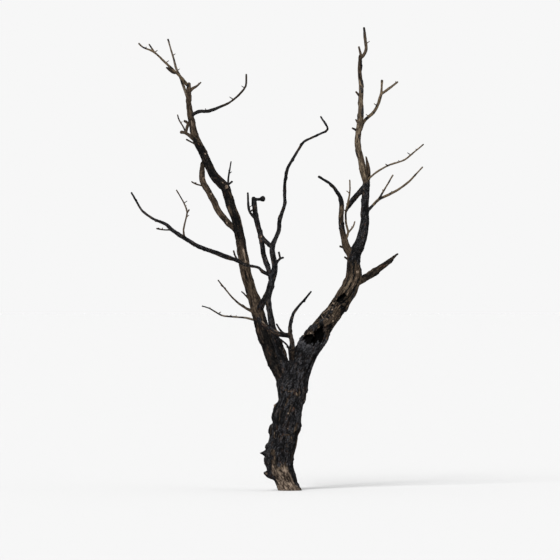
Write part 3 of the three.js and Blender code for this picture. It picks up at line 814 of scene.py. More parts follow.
class Growing:
    """Every limb and every mass's stem, laid out in the frame's own order."""

    def __init__(self) -> None:
        """Grows them all, so that their keys match the frame's."""
        trunk = Limb(0, corners_of(np.zeros(3), TRUNK_COURSE), TRUNK_GIRTHS, level=True)
        self.limbs: dict[str, Limb] = {"trunk": trunk}
        self.plans: dict[str, Plan] = {}
        for key, plan in enumerate((*LIMBS, *TWIGS, *LATE_LIMBS), start=2):
            self.limbs[plan.name] = self.stem(plan, key)
            self.plans[plan.name] = plan

    def stem(self, plan: Plan, key: int) -> Limb:
        """Lays one stem, which may run from one limb across to another, bowed at its middle.

        Args:
            plan: Its plan.
            key: Its seed.

        Returns:
            The limb, with its foot in its carrier.
        """
        carrier = self.limbs[plan.on]
        if not plan.to:
            return limb_from(carrier, plan, key)
        end = self.limbs[plan.to]
        first = carrier.middle_at(plan.at * carrier.length)
        last = end.middle_at(plan.landing * end.length)
        middle = (first + last) / 2 + np.array(plan.bow)
        return Limb(key, np.array([first, middle, last]), plan.girths)

    def forks(self, name: str) -> list[Limb]:
        """Lays the forks that are part of one stem.

        Args:
            name: The stem, which is not the trunk.

        Returns:
            A limb for each fork.
        """
        stem = self.limbs[name]
        return [limb_from(stem, fork, branch_key(stem.key, number))
                for number, fork in enumerate(self.plans[name].forks, start=1)]

    def neighbours(self, name: str) -> list[tuple[Limb, bool]]:
        """Lists what a limb meets.

        Args:
            name: The limb.

        Returns:
            Each limb that it meets, with True where that one is carried by it.
        """
        met = [(self.limbs[plan.name], True) for plan in self.plans.values() if name in (plan.on, plan.to)]
        if name in self.plans:
            plan = self.plans[name]
            met += [(self.limbs[other], False) for other in {plan.on, plan.to or plan.on}]
        return met


# ---- skins
def wrapped(angle: Array) -> Array:
    """Brings angles to between minus half a turn and half a turn."""
    return np.arctan2(np.sin(angle), np.cos(angle))


def tilted_reach(aside: Array, up: Array, tilt: float, wide: float, tall: float) -> Array:
    """Measures how far points lie from a patch's middle, with 1 at its edge.

    Args:
        aside: How far to the right of its middle they lie.
        up: How far above it they lie.
        tilt: The lean of its length, in radians.
        wide: How far it reaches to each side.
        tall: How far it reaches along its length.

    Returns:
        Distances, 1 at the patch's edge.
    """
    return np.hypot((aside * math.cos(tilt) - up * math.sin(tilt)) / wide,
                    (aside * math.sin(tilt) + up * math.cos(tilt)) / tall)


class Skin:
    """The surface of one limb: a grid of points that is rolled into a closed tube.

    Rows run from the middle of the foot to the point of the tip, and columns run round the limb.
    """

    LEAST_ROWS = 8
    LEAST_TIP_ROWS = 3
    CUT_RING = 0.5  # a level cut has a ring of points at this share of its radius
    FLUTE_COUNT = 3
    HEADING_REACH = 12  # a row's heading is read this far before and after it
    GRAIN_APART = 3000  # limbs' grains start at seeded places within this length
    FILLET = 0.55  # a fillet's reach, in radii of the limb that is carried,
    LEAST_FILLET = 3  # and what is added to it
    FILLET_STEP = 8
    BEHIND = 0.5  # a mark on the front ends where the surface faces back more than this,
    WRAP = 0.7  # and fades out towards there over this much
    RAGGED, SOFT = 0.35, 0.5  # how uneven a feature's edge is and how slowly it fades out
    LEVELLED = 0.6  # share of the bark's own relief that a feature levels out
    FULL_GIRTH = 100  # scattered features have their own size on a limb of this girth,
    LEAST_SHARE = 0.7  # and thinner limbs have them no sparser than at this share of it
    KNOT_WIDTH = 0.55  # how far a knot reaches to each side, in radians
    KNOT_LIMIT = 13  # and the most that it stands out
    TIP_REACH = 1.2  # a broken tip starts this many girths before the end
    TIP_WAVES = 2.2
    WELD = 0.00002  # points closer than this are merged, in metres
    MAP_MARGIN = 0.012  # room at a strip's sides in the flat map
    MAP_FOOT, MAP_TALL = 0.01, 0.98

    def __init__(self, limb: Limb, sides: int, step: float) -> None:
        """Lays the plain surface.

        Args:
            limb: The limb.
            sides: Faces round it.
            step: Distance from row to row.
        """
        self.limb, self.sides = limb, sides
        rows = max(self.LEAST_ROWS, round(limb.length / step))
        distance = np.linspace(0, limb.length, rows + 1)
        tip_girth = float(limb.girth_at(limb.length))
        tip_rows = max(self.LEAST_TIP_ROWS, round(tip_girth / step))
        turn = np.linspace(0, math.pi / 2, tip_rows + 1)[1:]
        past = GROWTH.tip * tip_girth * np.sin(turn)
        inner = (0, self.CUT_RING) if limb.level else (0,)
        self.distance = np.concatenate([np.zeros(len(inner)), distance, np.full(tip_rows, limb.length)])
        self.past = np.concatenate([np.zeros(len(inner) + rows + 1), past])
        self.share = np.concatenate([inner, np.ones(rows + 1), np.cos(turn)])
        self.share[-1] = 0
        self.girth = limb.girth_at(self.distance)
        self.place_frames(limb)
        self.angle = np.linspace(0, FULL_TURN, sides + 1)
        self.outward = (self.side[:, None] * np.cos(self.angle)[:, None]
                        + self.across[:, None] * np.sin(self.angle)[:, None])
        self.plain = (self.girth / 2)[:, None] * np.ones(sides + 1)
        along = (self.distance / GROWTH.flute_turn)[:, None]
        flute = np.sin(self.FLUTE_COUNT * self.angle + limb.key + along)
        self.points = self.middle[:, None] + (
            self.plain * (1 + GROWTH.flutes * flute) * self.share[:, None])[..., None] * self.outward
        self.burn = np.ones(self.plain.shape)
        self.bare = np.zeros(self.plain.shape)
        self.relief = np.zeros(self.plain.shape)

    def place_frames(self, limb: Limb) -> None:
        """Sets each row's middle, heading, side and the direction across both.

        Args:
            limb: The limb.
        """
        self.middle = limb.smooth_middle(self.distance)
        count = len(self.distance)
        if limb.level:
            heading = np.tile([0.0, 0.0, 1.0], (count, 1))
        else:
            reach = self.distance[:, None] + self.HEADING_REACH * np.array([-1, 1])
            body = limb.smooth_middle(np.clip(reach, 0, limb.length))
            heading = body[:, 1] - body[:, 0]
            heading /= np.linalg.norm(heading, axis=1)[:, None]
        self.middle = self.middle + heading * self.past[:, None]
        side = np.zeros((count, 3))
        current = np.array([1.0, 0.0, 0.0])
        for row in range(count):
            current = current - heading[row] * (current @ heading[row])
            current /= np.linalg.norm(current)
            side[row] = current
        self.heading, self.side = heading, side
        self.across = np.cross(heading, side)

    def push(self, out: Array) -> None:
        """Moves the surface outwards.

        Args:
            out: How far, for each point.
        """
        self.points += (out * self.share[:, None])[..., None] * self.outward

    def grain(self) -> Array:
        """Gives coordinates that follow the limb.

        Returns:
            For each point, two lengths across the limb and one along it.
        """
        radius = self.plain * self.share[:, None]
        along = np.broadcast_to((self.distance + self.past)[:, None], radius.shape)
        offset = self.GRAIN_APART * seeded(self.limb.key + KEYS.grain, np.arange(3))
        return np.stack([radius * np.cos(self.angle), radius * np.sin(self.angle), along], axis=-1) + offset

    def height(self) -> Array:
        """Gives each point's height above the ground."""
        return self.points[..., 2]

    def swell_joints(self, met: list[tuple[Limb, bool]]) -> None:
        """Draws the surface out in a smooth fillet where it meets other limbs.

        Args:
            met: The limbs that it meets, with True where that one is carried by this one.
        """
        for other, carried in met:
            child = other if carried else self.limb
            blend = self.FILLET * float(child.plain_girth(0)) / 2 + self.LEAST_FILLET
            reach = np.linspace(0, other.length, max(2, round(other.length / self.FILLET_STEP)))
            spine, girth = other.smooth_middle(reach), other.girth_at(reach)
            box = spine.min(axis=0) - girth.max(), spine.max(axis=0) + girth.max()
            near = np.all((self.points > box[0] - blend) & (self.points < box[1] + blend), axis=-1)
            rows = np.flatnonzero(near.any(axis=1))
            out = np.zeros(near.shape)
            for row in rows:
                apart = np.linalg.norm(self.points[row][:, None] - spine[None], axis=-1) - girth / 2
                gap = np.abs(apart.min(axis=1))
                out[row] = np.maximum(0, blend - gap) ** 2 / (4 * blend)
            self.push(out)

    def across_front(self, mark: Mark, ragged: float, soft: float) -> Array:
        """Works out how much of a mark each point of the front takes.

        Args:
            mark: The mark.
            ragged: How uneven its edge is, as a share of its size.
            soft: How slowly it fades out towards its edge.

        Returns:
            Shares from 0 to 1.
        """
        wide, tall, backward = mark.feature.wide, mark.feature.tall, self.outward[..., 1]
        aside, up = self.points[..., 0] - mark.right, self.points[..., 2] - mark.height
        reach = tilted_reach(aside, up, math.radians(mark.lean), wide, tall)
        reach = np.where(backward < self.BEHIND, reach, FAR)
        facing = smooth((self.BEHIND - backward) / self.WRAP)
        return self.ragged_edge(reach, min(wide, tall), ragged, soft) * facing

    def ragged_edge(self, reach: Array, size: float, ragged: float, soft: float) -> Array:
        """Gives a patch an uneven edge.

        Args:
            reach: How far each point lies from the patch's middle, with 1 at its edge.
            size: The patch's least reach.
            ragged: How uneven its edge is, as a share of its size.
            soft: How slowly it fades out towards its edge.

        Returns:
            Shares from 0 to 1.
        """
        spread = np.zeros(reach.shape)
        near = reach < 1 + ragged
        uneven = rough_noise(self.points[near] / (0.9 * size + 8), Salt.EDGE)
        spread[near] = smooth((1 - reach[near] + ragged * uneven) / soft)
        return spread

    def lay(self, feature: Feature, spread: Array) -> None:
        """Gives the surface a feature.

        Args:
            feature: What it is like.
            spread: How much of it each point takes.
        """
        self.push(feature.out * spread)
        self.burn += (feature.burn - self.burn) * spread
        self.bare += (feature.bare - self.bare) * spread
        # a feature's dark lowers the relief, which paints shade on it
        self.relief -= (feature.dark + self.LEVELLED * self.relief) * spread

    def mark(self, mark: Mark) -> None:
        """Lays one mark on the front."""
        self.lay(mark.feature, self.across_front(mark, self.RAGGED, self.SOFT))

    def scatter(self, kind: Scatter) -> None:
        """Deals out one kind of feature all round the limb.

        Args:
            kind: The kind.
        """
        key, length = self.limb.key + kind.salt, self.limb.length
        feature, girth = kind.feature, float(self.girth.mean()) / self.FULL_GIRTH
        thin = min(1.0, girth ** 0.5)
        count = round(length * max(self.LEAST_SHARE, girth) / kind.spacing)
        for i in range(count):
            place, size, side, turn = draws(key, i, apart=1000, count=4)
            size = thin * varied(size)
            along = self.distance - length * (i + place) / count
            rows = np.abs(along) < 1.5 * size * max(feature.tall, feature.wide)
            around = wrapped(self.angle - FULL_TURN * side) * self.plain[rows]
            tilt = math.radians(kind.turn * (2 * turn - 1))
            wide, tall = size * feature.wide, size * feature.tall
            reach = np.full(self.plain.shape, FAR)
            reach[rows] = tilted_reach(around, along[rows][:, None], tilt, wide, tall)
            self.lay(feature, self.ragged_edge(reach, wide, self.RAGGED, self.SOFT))

    def grow_knots(self, spacing: float, most: float) -> None:
        """Raises seeded knots and stubs of lost twigs.

        Args:
            spacing: One to about this length of limb.
            most: The most that one stands out, in girths.
        """
        key, length = self.limb.key + KEYS.stubs, self.limb.length
        count = max(1, round(length / spacing))
        for i in range(count):
            place, side, tall, size = draws(key, i, apart=300, count=4)
            place = length * (i + place) / count
            girth = float(self.limb.plain_girth(place))
            turn = wrapped(self.angle - FULL_TURN * side)
            tall = girth * (0.2 + 0.3 * tall) + 6
            away = ((self.distance - place) / tall)[:, None] ** 2 + (turn / self.KNOT_WIDTH) ** 2
            out = min(most * girth, self.KNOT_LIMIT) * (0.25 + 0.75 * size ** 2)
            self.push(out * np.exp(-(away ** 1.5)))

    def end_ragged(self, share: float) -> None:
        """Breaks the tip off unevenly.

        Args:
            share: How uneven it is, in girths.
        """
        tip_girth = self.girth[-1]
        near = smooth(1 - (self.limb.length - self.distance) / (self.TIP_REACH * tip_girth))[:, None]
        round_tip = self.TIP_WAVES * np.cos(self.angle), self.TIP_WAVES * np.sin(self.angle)
        wave = noise(np.stack([*round_tip, np.full(self.angle.shape, self.limb.key)], axis=-1), Salt.TIP)
        away = near * share * tip_girth * np.minimum(0.1, wave - 0.25) * self.share[:, None] ** 0.5
        self.points += away[..., None] * self.heading[:, None]

    def object(self, name: str) -> Piece:
        """Rolls a grid primitive into the tube and closes its seam and ends.

        Args:
            name: The new piece's name.

        Returns:
            The piece, with its attributes and its flat map.
        """
        rows = len(self.distance) - 1
        bpy.ops.object.select_all(action="DESELECT")
        bpy.ops.mesh.primitive_grid_add(x_subdivisions=self.sides, y_subdivisions=rows, size=2,
                                        location=(0, 0, 0))
        piece = bpy.context.object
        piece.name = piece.data.name = name
        mesh = piece.data
        places = np.zeros(len(mesh.vertices) * 3, np.float32)
        mesh.vertices.foreach_get("co", places)
        places = places.reshape(-1, 3)
        column = np.rint((places[:, 0] + 1) / 2 * self.sides).astype(int)
        row = np.rint((places[:, 1] + 1) / 2 * rows).astype(int)
        corner = np.zeros(len(mesh.loops), np.int32)
        mesh.loops.foreach_get("vertex_index", corner)
        self.lay_flat(mesh, row[corner], column[corner])
        mesh.vertices.foreach_set("co", (self.points[row, column] * MM).astype(np.float32).ravel())
        for label, values in (("burn", self.burn), ("bare", self.bare), ("relief", self.relief)):
            layer = mesh.attributes.new(label, "FLOAT", "POINT")
            layer.data.foreach_set("value", values[row, column].astype(np.float32))
        layer = mesh.attributes.new("grain", "FLOAT_VECTOR", "POINT")
        layer.data.foreach_set("vector", (self.grain()[row, column] * MM).astype(np.float32).ravel())
        close_up()
        return piece

    def lay_flat(self, mesh: bpy.types.Mesh, row: Array, column: Array) -> None:
        """Lays the tube out flat in strips side by side, as the map that patterns are baked through.

        Args:
            mesh: The grid.
            row: The row of each face corner.
            column: The column of each face corner.
        """
        along = np.concatenate([[0], np.cumsum(np.linalg.norm(np.diff(self.points[:, 0], axis=0), axis=1))])
        around = math.pi * float(self.girth.mean())
        strips = max(1, round(math.sqrt(along[-1] / around)))
        face_row = row.reshape(-1, 4).min(axis=1).repeat(4)
        strip_of = np.minimum((along / along[-1] * strips).astype(int), strips - 1)
        strip = strip_of[face_row]
        widest = [self.girth[strip_of == i].max() for i in range(strips)]
        edges = np.concatenate([[0], np.cumsum(widest)]) / sum(widest)
        margin = self.MAP_MARGIN / strips
        width = edges[strip + 1] - edges[strip] - 2 * margin
        across = edges[strip] + margin + column / self.sides * width
        starts = np.array([along[face_row[strip == i]].min() for i in range(strips)])
        ends = np.array([along[row[strip == i]].max() for i in range(strips)])
        up = self.MAP_FOOT + self.MAP_TALL * (along[row] - starts[strip]) / (ends - starts).max()
        flat = mesh.uv_layers[0]
        flat.name = "OFBake"
        flat.data.foreach_set("uv", np.stack([across, up], axis=-1).astype(np.float32).ravel())


def close_up() -> None:
    """Merges the active grid's seam and ends, turns its faces outwards and shades it smooth."""
    bpy.ops.object.mode_set(mode="EDIT")
    bpy.ops.mesh.select_all(action="SELECT")
    bpy.ops.mesh.remove_doubles(threshold=Skin.WELD)
    bpy.ops.mesh.normals_make_consistent(inside=False)
    bpy.ops.object.mode_set(mode="OBJECT")
    bpy.ops.object.shade_smooth()


# ---- bark
@dataclass(frozen=True)
class BarkRelief:
    """How deep and how wide the bark's forms are, in millimetres on a limb of the trunk's radius."""

    trunk_radius: float = 145
    plate_width: float = 30  # char cracks into plates this wide
    plate_stretch: float = 2.6  # and this many times as long
    plate_depth: float = 7.4
    shrink: float = 0.6  # power by which plates shrink on thinner limbs
    crack: float = 0.22  # width of a crack, as a share of a plate
    warp: float = 0.3  # how far the plates' walls wind, in plates
    fibre_depth: float = 4.6
    stand: float = 1.8  # how far the bark stands off the wood
    lump: float = 0.05  # slow unevenness, as a share of the radius,
    least_lump: float = 1.6  # and the least that it is
    plates_apart: float = 50  # limbs' plates start at seeded places within this many
    tops: float = 0.9  # how much plates differ in height, in depths
    plate_part: float = 0.72  # how much of the char's depth its plates take,
    crumb_part: float = 0.5  # and how much its crumbs
    fibre_part: float = 0.8  # how much of the bark's depth its fibres take,
    speck_part: float = 0.25  # how much its crumbs,
    check_part: float = 0.35  # and how much its cracks
    fibre_shade: float = 0.7  # how far fibres count as relief in the colours, which paint raised fibres lighter and sunk ones darker as painted light and shade
    lump_waves: float = 0.5  # waves of each pattern to a plate, crosswise twice and along
    warp_waves: float = 1.7
    crumb_waves: float = 3.1
    fibre_waves: Triple = (3.6, 3.6, 0.9)
    burn_waves: Triple = (0.55, 0.55, 0.4)
    char_from: float = 0.5  # plates begin at this burn,
    char_fade: float = 0.35  # and are whole when it is this much more
    burn_shift: float = 90  # how far up or down the burn strays from its plan,
    burn_stray: float = 0.0012  # and how much it changes for each millimetre of that

    def carve(self, skin: Skin, scorch: Scorch) -> None:
        """Gives a skin its plates, cracks, fibres and lumps, and its burn.

        Args:
            skin: The surface.
            scorch: How the fire left it.
        """
        radius = skin.plain
        thin = (radius / self.trunk_radius) ** self.shrink
        width = self.plate_width * thin
        step = np.diff(skin.distance + skin.past, prepend=0)[:, None]
        along = np.cumsum(step / (width * self.plate_stretch), axis=0)
        across = radius * skin.share[:, None] / width
        offset = self.plates_apart * seeded(skin.limb.key + KEYS.char, np.arange(3))
        place = np.stack([across * np.cos(skin.angle), across * np.sin(skin.angle), along], axis=-1) + offset
        lumps = rough_noise(place * self.lump_waves, Salt.LUMPS, 2)
        skin.push(scorch.lumps * (self.lump * radius + self.least_lump) * lumps)
        self.burn_in(skin, scorch, place)
        warp = np.stack([rough_noise(place * self.warp_waves, Salt.WARP + 3 * axis, 2)
                         for axis in range(3)], axis=-1)
        wall, tone = cells(place + self.warp * warp, Salt.PLATES)
        open_crack = 1 - smooth(wall / self.crack)
        plates = self.tops * (tone - 0.5) * (1 - open_crack) - open_crack
        crumbs = rough_noise(place * self.crumb_waves, Salt.CRUMBS)
        fibres = rough_noise(place * np.array(self.fibre_waves), Salt.FIBRES)
        charred = smooth((skin.burn - self.char_from) / self.char_fade)
        deep = self.plate_depth * thin * (self.plate_part * plates + self.crumb_part * crumbs)
        shallow = self.fibre_depth * thin * (
            self.fibre_part * fibres + self.speck_part * crumbs - self.check_part * open_crack)
        skin.push(self.stand + charred * deep + (1 - charred) * shallow)
        # the relief also sets the colours: painted light on raised parts and painted shade in low ones
        skin.relief = (charred * (plates + self.crumb_part * crumbs)
                       + (1 - charred) * self.fibre_shade * fibres)

    def burn_in(self, skin: Skin, scorch: Scorch, place: Array) -> None:
        """Sets how charred each point is, with an uneven edge from one state to the next.

        Args:
            skin: The surface.
            scorch: Its burn at several heights.
            place: Coordinates that follow the limb.
        """
        uneven = self.burn_shift * rough_noise(place * np.array(self.burn_waves), Salt.BURN)
        heights, burns = np.array(scorch.burn, float).T
        planned = np.interp(skin.height() + uneven, heights, burns)
        skin.burn = np.clip(planned + self.burn_stray * uneven, 0, 1)


RELIEF = BarkRelief()


# ---- shader expressions
class Signal:
    """A shader socket that takes part in Python expressions."""

    def __init__(self, graph: "Graph", socket: Optional[bpy.types.NodeSocket]) -> None:
        """Wraps a socket of a graph."""
        self.graph, self.socket = graph, socket

    def maths(self, operation: str, *values: "Number") -> "Signal":
        """Adds a Math node."""
        return self.graph.node("ShaderNodeMath", {"operation": operation}, *values)

    def __add__(self, other: "Number") -> "Signal":
        """Adds."""
        return self.maths("ADD", self, other)

    __radd__ = __add__

    def __mul__(self, other: "Number") -> "Signal":
        """Multiplies."""
        return self.maths("MULTIPLY", self, other)

    __rmul__ = __mul__

    def __sub__(self, other: "Number") -> "Signal":
        """Subtracts."""
        return self.maths("SUBTRACT", self, other)

    def __rsub__(self, other: "Number") -> "Signal":
        """Is subtracted."""
        return self.maths("SUBTRACT", other, self)

    def rise(self, low: float, high: float) -> "Signal":
        """Rises smoothly from 0 at low to 1 at high."""
        smoothly = {"interpolation_type": "SMOOTHSTEP"}
        return self.graph.node("ShaderNodeMapRange", smoothly, self, low, high, 0.0, 1.0)


Number = Signal | float


class Graph:
    """One material's nodes, which end in a Principled surface."""

    OBJECT_PLACE = 3  # Texture Coordinate's output of object coordinates
    VECTOR, SHARE = 1, 2  # Attribute's outputs
    MIX_INPUTS, MIX_OUTPUT = (0, 6, 7), 2  # the Mix node's sockets for colours
    SHINE = 0.02  # burnt wood hardly shines

    def __init__(self, name: str) -> None:
        """Starts an empty material."""
        self.material = bpy.data.materials.new(name)
        self.material.use_nodes = True
        self.tree = self.material.node_tree
        self.tree.nodes.clear()

    def node(self, kind: str, settings: dict[str, Any], *values: Any, out: int = 0, **named: Any) -> Signal:
        """Adds a node.

        Args:
            kind: The node's type.
            settings: What is set on the node itself, first.
            values: Inputs in their order, with None for one that is left alone.
            out: Which output to give.
            named: Inputs by name, with _ for a space.

        Returns:
            The output.
        """
        made = self.tree.nodes.new(kind)
        for label, setting in settings.items():
            setattr(made, label, setting)
        for socket, value in zip(made.inputs, values):
            self.feed(socket, value)
        for label, value in named.items():
            self.feed(made.inputs[label.replace("_", " ")], value)
        return Signal(self, made.outputs[out] if made.outputs else None)

    def feed(self, socket: bpy.types.NodeSocket, value: Any) -> None:
        """Links a signal to a socket or sets a constant on it.

        Args:
            socket: The socket.
            value: The signal or the constant, or None to leave the socket alone.
        """
        if isinstance(value, Signal):
            self.tree.links.new(value.socket, socket)
        elif value is not None:
            rgba = isinstance(value, tuple) and socket.type == "RGBA"
            socket.default_value = (*value, 1.0) if rgba else value

    def attribute(self, name: str, vector: bool = False) -> Signal:
        """Reads one of the piece's own attributes."""
        settings = {"attribute_type": "GEOMETRY", "attribute_name": name}
        return self.node("ShaderNodeAttribute", settings, out=self.VECTOR if vector else self.SHARE)

    def object_place(self) -> Signal:
        """Reads the object coordinates."""
        return self.node("ShaderNodeTexCoord", {}, out=self.OBJECT_PLACE)

    def place(self, vector: Signal, scale: Sequence[float]) -> Signal:
        """Stretches coordinates."""
        return self.node("ShaderNodeVectorMath", {"operation": "MULTIPLY"}, vector, tuple(scale))

    def noise(self, vector: Signal, scale: float, detail: float = 3, roughness: float = 0.55) -> Signal:
        """Reads a noise pattern, from 0 to 1."""
        return self.node("ShaderNodeTexNoise", {}, Vector=vector, Scale=scale, Detail=detail,
                         Roughness=roughness)

    def crack_lines(self, vector: Signal, scale: float) -> Signal:
        """Reads the distance from the walls of irregular cells."""
        return self.node("ShaderNodeTexVoronoi", {"feature": "DISTANCE_TO_EDGE"}, Vector=vector, Scale=scale)

    def mix(self, factor: Number, low: Any, high: Any) -> Signal:
        """Mixes two colours.

        Args:
            factor: How much of the second colour there is, from 0 to 1.
            low: The first colour.
            high: The second colour.

        Returns:
            The colour.
        """
        mixed = self.tree.nodes.new("ShaderNodeMix")
        mixed.data_type = "RGBA"
        for index, value in zip(self.MIX_INPUTS, (factor, low, high)):
            self.feed(mixed.inputs[index], value)
        return Signal(self, mixed.outputs[self.MIX_OUTPUT])

    def finish(self, colour: Any, roughness: Number, height: Signal, depth: float) -> Material:
        """Ends the graph in a rough surface with a bump.

        Args:
            colour: Its base colour.
            roughness: Its roughness.
            height: What the bump follows.
            depth: The bump's height in metres.

        Returns:
            The material.
        """
        bump = self.node("ShaderNodeBump", {}, Strength=1.0, Distance=depth, Height=height)
        surface = self.node("ShaderNodeBsdfPrincipled", {}, Base_Color=colour, Roughness=roughness,
                            Normal=bump, Specular_IOR_Level=self.SHINE)
        self.node("ShaderNodeOutputMaterial", {}, surface)
        return self.material


# ---- finishes
@dataclass(frozen=True)
class BarkFinish:
    """Char, scorched bark and bare wood on one surface, laid out by its burn, bare and relief attributes."""

    name: str
    char_deep: Colour = (0.0018, 0.0018, 0.0019)
    # painted sheen: the bluish grey that the char's faces take where they catch light
    char_sheen: Colour = (0.0600, 0.0602, 0.0655)
    scratched: float = 0.45  # how much brown shows through the char
    soot_and_shade_weight: float = 0.8  # how black the soot lies, with painted shade that makes it heavier in low places
    cracked: float = 0.6  # how black cracks are
    # painted shade: near-black for the deepest cracks, grooves, pits and hollows
    hollow: Colour = (0.0012, 0.0011, 0.0010)
    ember: Colour = (0.060, 0.031, 0.018)
    brown_deep: Colour = (0.0045, 0.0034, 0.0026)
    brown_light: Colour = (0.072, 0.052, 0.036)
    tan_deep: Colour = (0.0095, 0.0068, 0.0046)
    tan_light: Colour = (0.146, 0.112, 0.077)
    wood_deep: Colour = (0.016, 0.0112, 0.0082)
    wood_light: Colour = (0.232, 0.178, 0.134)
    bump: float = 0.0022  # in metres

    # Stretch along the limb, scale, detail and roughness of each pattern:
    # fibres, fine fibres, mottling, streaks and smoke
    PATTERNS = ((0.14, 150, 4, 0.6), (0.12, 290, 3, 0.6), (0.5, 22, 3, 0.55), (0.2, 60, 4, 0.6),
                (0.45, 13, 4, 0.65))

    def material(self) -> Material:
        """Builds the material.

        Returns:
            The material.
        """
        graph = Graph(self.name)
        burn, bare, relief = (graph.attribute(label) for label in ("burn", "bare", "relief"))
        grain = graph.attribute("grain", vector=True)
        fibres, fine, mottle, streaks, smoke = (
            graph.noise(graph.place(grain, (1, 1, along)), scale, detail, roughness)
            for along, scale, detail, roughness in self.PATTERNS)
        specks = graph.noise(grain, 95, 6, 0.72)
        checks = graph.crack_lines(graph.place(grain, (1, 1, 0.24)), 62).rise(0.0, 0.1)
        threads = 0.7 * fibres + 0.6 * fine
        # brown, tan and bare wood are lighter where raised and darker where low: painted light and shade
        brown, tan, wood = (
            graph.mix((threads + mottled * mottle + shaded_by_relief * relief).rise(low, high), deep, light)
            for mottled, shaded_by_relief, low, high, deep, light in (
                (0.5, 0.25, 0.66, 1.18, self.brown_deep, self.brown_light),
                (0.6, 0.2, 0.66, 1.2, self.tan_deep, self.tan_light),
                (0.4, 0.2, 0.55, 1.15, self.wood_deep, self.wood_light)))
        edge = burn + 0.3 * (fibres - 0.5) + 0.25 * (mottle - 0.5)
        colour = graph.mix(edge.rise(0.3, 0.48), tan, brown)
        colour = graph.mix(edge.rise(0.66, 0.82), colour, self.char(graph, relief, specks, streaks, mottle))
        colour = graph.mix((bare + 0.9 * (threads - 0.65)).rise(0.25, 0.85), colour, wood)
        # soot in random patches, heavier in low places as painted shade
        soot_and_shade = (smoke - 0.18 * relief).rise(0.5, 0.72)
        colour = graph.mix(soot_and_shade * (1 - 0.85 * bare) * self.soot_and_shade_weight, colour, self.char_deep)
        colour = graph.mix((1 - checks) * (1 - 0.4 * bare) * self.cracked, colour, self.char_deep)
        # painted shade: the deepest places turn near-black
        colour = graph.mix((0 - relief).rise(1.3, 2.0), colour, self.hollow)
        height = 0.5 * fibres + 0.35 * specks + 0.5 * checks * burn
        return graph.finish(colour, 0.9 - 0.25 * specks, height, self.bump)

    def char(self, graph: Graph, relief: Signal, specks: Signal, streaks: Signal, mottle: Signal) -> Signal:
        """Colours the char: black with a painted bluish sheen in random patches and on raised parts,
        scratched to brown and rusty in its cracks.

        Args:
            graph: The material's nodes.
            relief: How high the surface stands.
            specks: Small noise.
            streaks: Noise that is long along the limb.
            mottle: Wide noise.

        Returns:
            Its colour.
        """
        # painted sheen: the char is lighter in random patches and on raised parts
        sheen_share = (0.14 * relief + 1.4 * specks + 0.3 * streaks + 0.4 * mottle - 0.55).rise(0.3, 1.0)
        scratches = streaks.rise(0.56, 0.66) * specks.rise(0.4, 0.6) * self.scratched
        rust = mottle.rise(0.55, 0.72) * (0 - relief).rise(0.15, 0.8) * relief.rise(-1.5, -1.1)
        colour = graph.mix(sheen_share, self.char_deep, self.char_sheen)
        return graph.mix(rust, graph.mix(scratches, colour, self.brown_light), self.ember)


# The char's painted sheen, dimmed as painted shade, for the scorched and pale finishes
DIM_CHAR_SHEEN: Colour = (0.0240, 0.0211, 0.0184)
BARK_FINISHES = (
    BarkFinish("charred_bark"),
    BarkFinish("scorched_bark", char_sheen=DIM_CHAR_SHEEN),
    BarkFinish("pale_wood", char_sheen=DIM_CHAR_SHEEN),
    BarkFinish("tan_wood"),
)


@dataclass(frozen=True)
class TwigFinish:
    """The plain colour of one tone of twig, lightly mottled."""

    name: str
    deep: Colour
    light: Colour

    def material(self) -> Material:
        """Builds the material.

        Returns:
            The material.
        """
        graph = Graph(self.name)
        own = graph.object_place()
        mottle = graph.noise(own, 60, 3)
        specks = graph.noise(own, 420, 2)
        colour = graph.mix((0.6 * specks + 0.7 * mottle).rise(0.4, 0.95), self.deep, self.light)
        return graph.finish(colour, 0.85, specks, 0.001)


class Tone(Enum):
    """The tones that twigs are dealt out in."""

    CHARRED = TwigFinish("charred_twig", (0.002, 0.002, 0.002), (0.018, 0.017, 0.017))
    CHARRED_BROWN = TwigFinish("charred_brown_twig", (0.0025, 0.002, 0.0017), (0.036, 0.027, 0.020))
    SCORCHED = TwigFinish("scorched_twig", (0.0035, 0.0028, 0.0022), (0.056, 0.041, 0.029))
    SCORCHED_TAN = TwigFinish("scorched_tan_twig", (0.0045, 0.0034, 0.0025), (0.082, 0.060, 0.042))
    TAN = TwigFinish("tan_twig", (0.0078, 0.0057, 0.0037), (0.134, 0.099, 0.063))
    TAN_GREY = TwigFinish("tan_grey_twig", (0.008, 0.0062, 0.0047), (0.125, 0.100, 0.075))


TWIG_TONES = {f"{name}_twigs": tone for tone, names in (
    (Tone.CHARRED, ("upright", "crossing_prong", "crotch_thin", "hook", "centre_peg")),
    (Tone.CHARRED_BROWN, ("long_limb_peg", "long_limb_split", "left_high", "left_prong", "bough_peg",
                          "long_limb_under")),
    (Tone.SCORCHED, ("side_bough", "left_cluster")),
    (Tone.SCORCHED_TAN, ("left_top", "leader_peg", "leader_middle", "leader_lower", "right_top",
                         "long_limb_upright")),
    (Tone.TAN, ("left_little", "left_forked", "inner", "right_fine", "right_fork", "right_high")),
    (Tone.TAN_GREY, ("left_low", "left_tip")),
) for name in names}
# The share of a mass's stem that is charred black from its foot
BLACK_FEET = {"left_high_twigs": 0.42, "right_fork_twigs": 0.14, "upright_twigs": 0.35,
              "left_forked_twigs": 0.06}


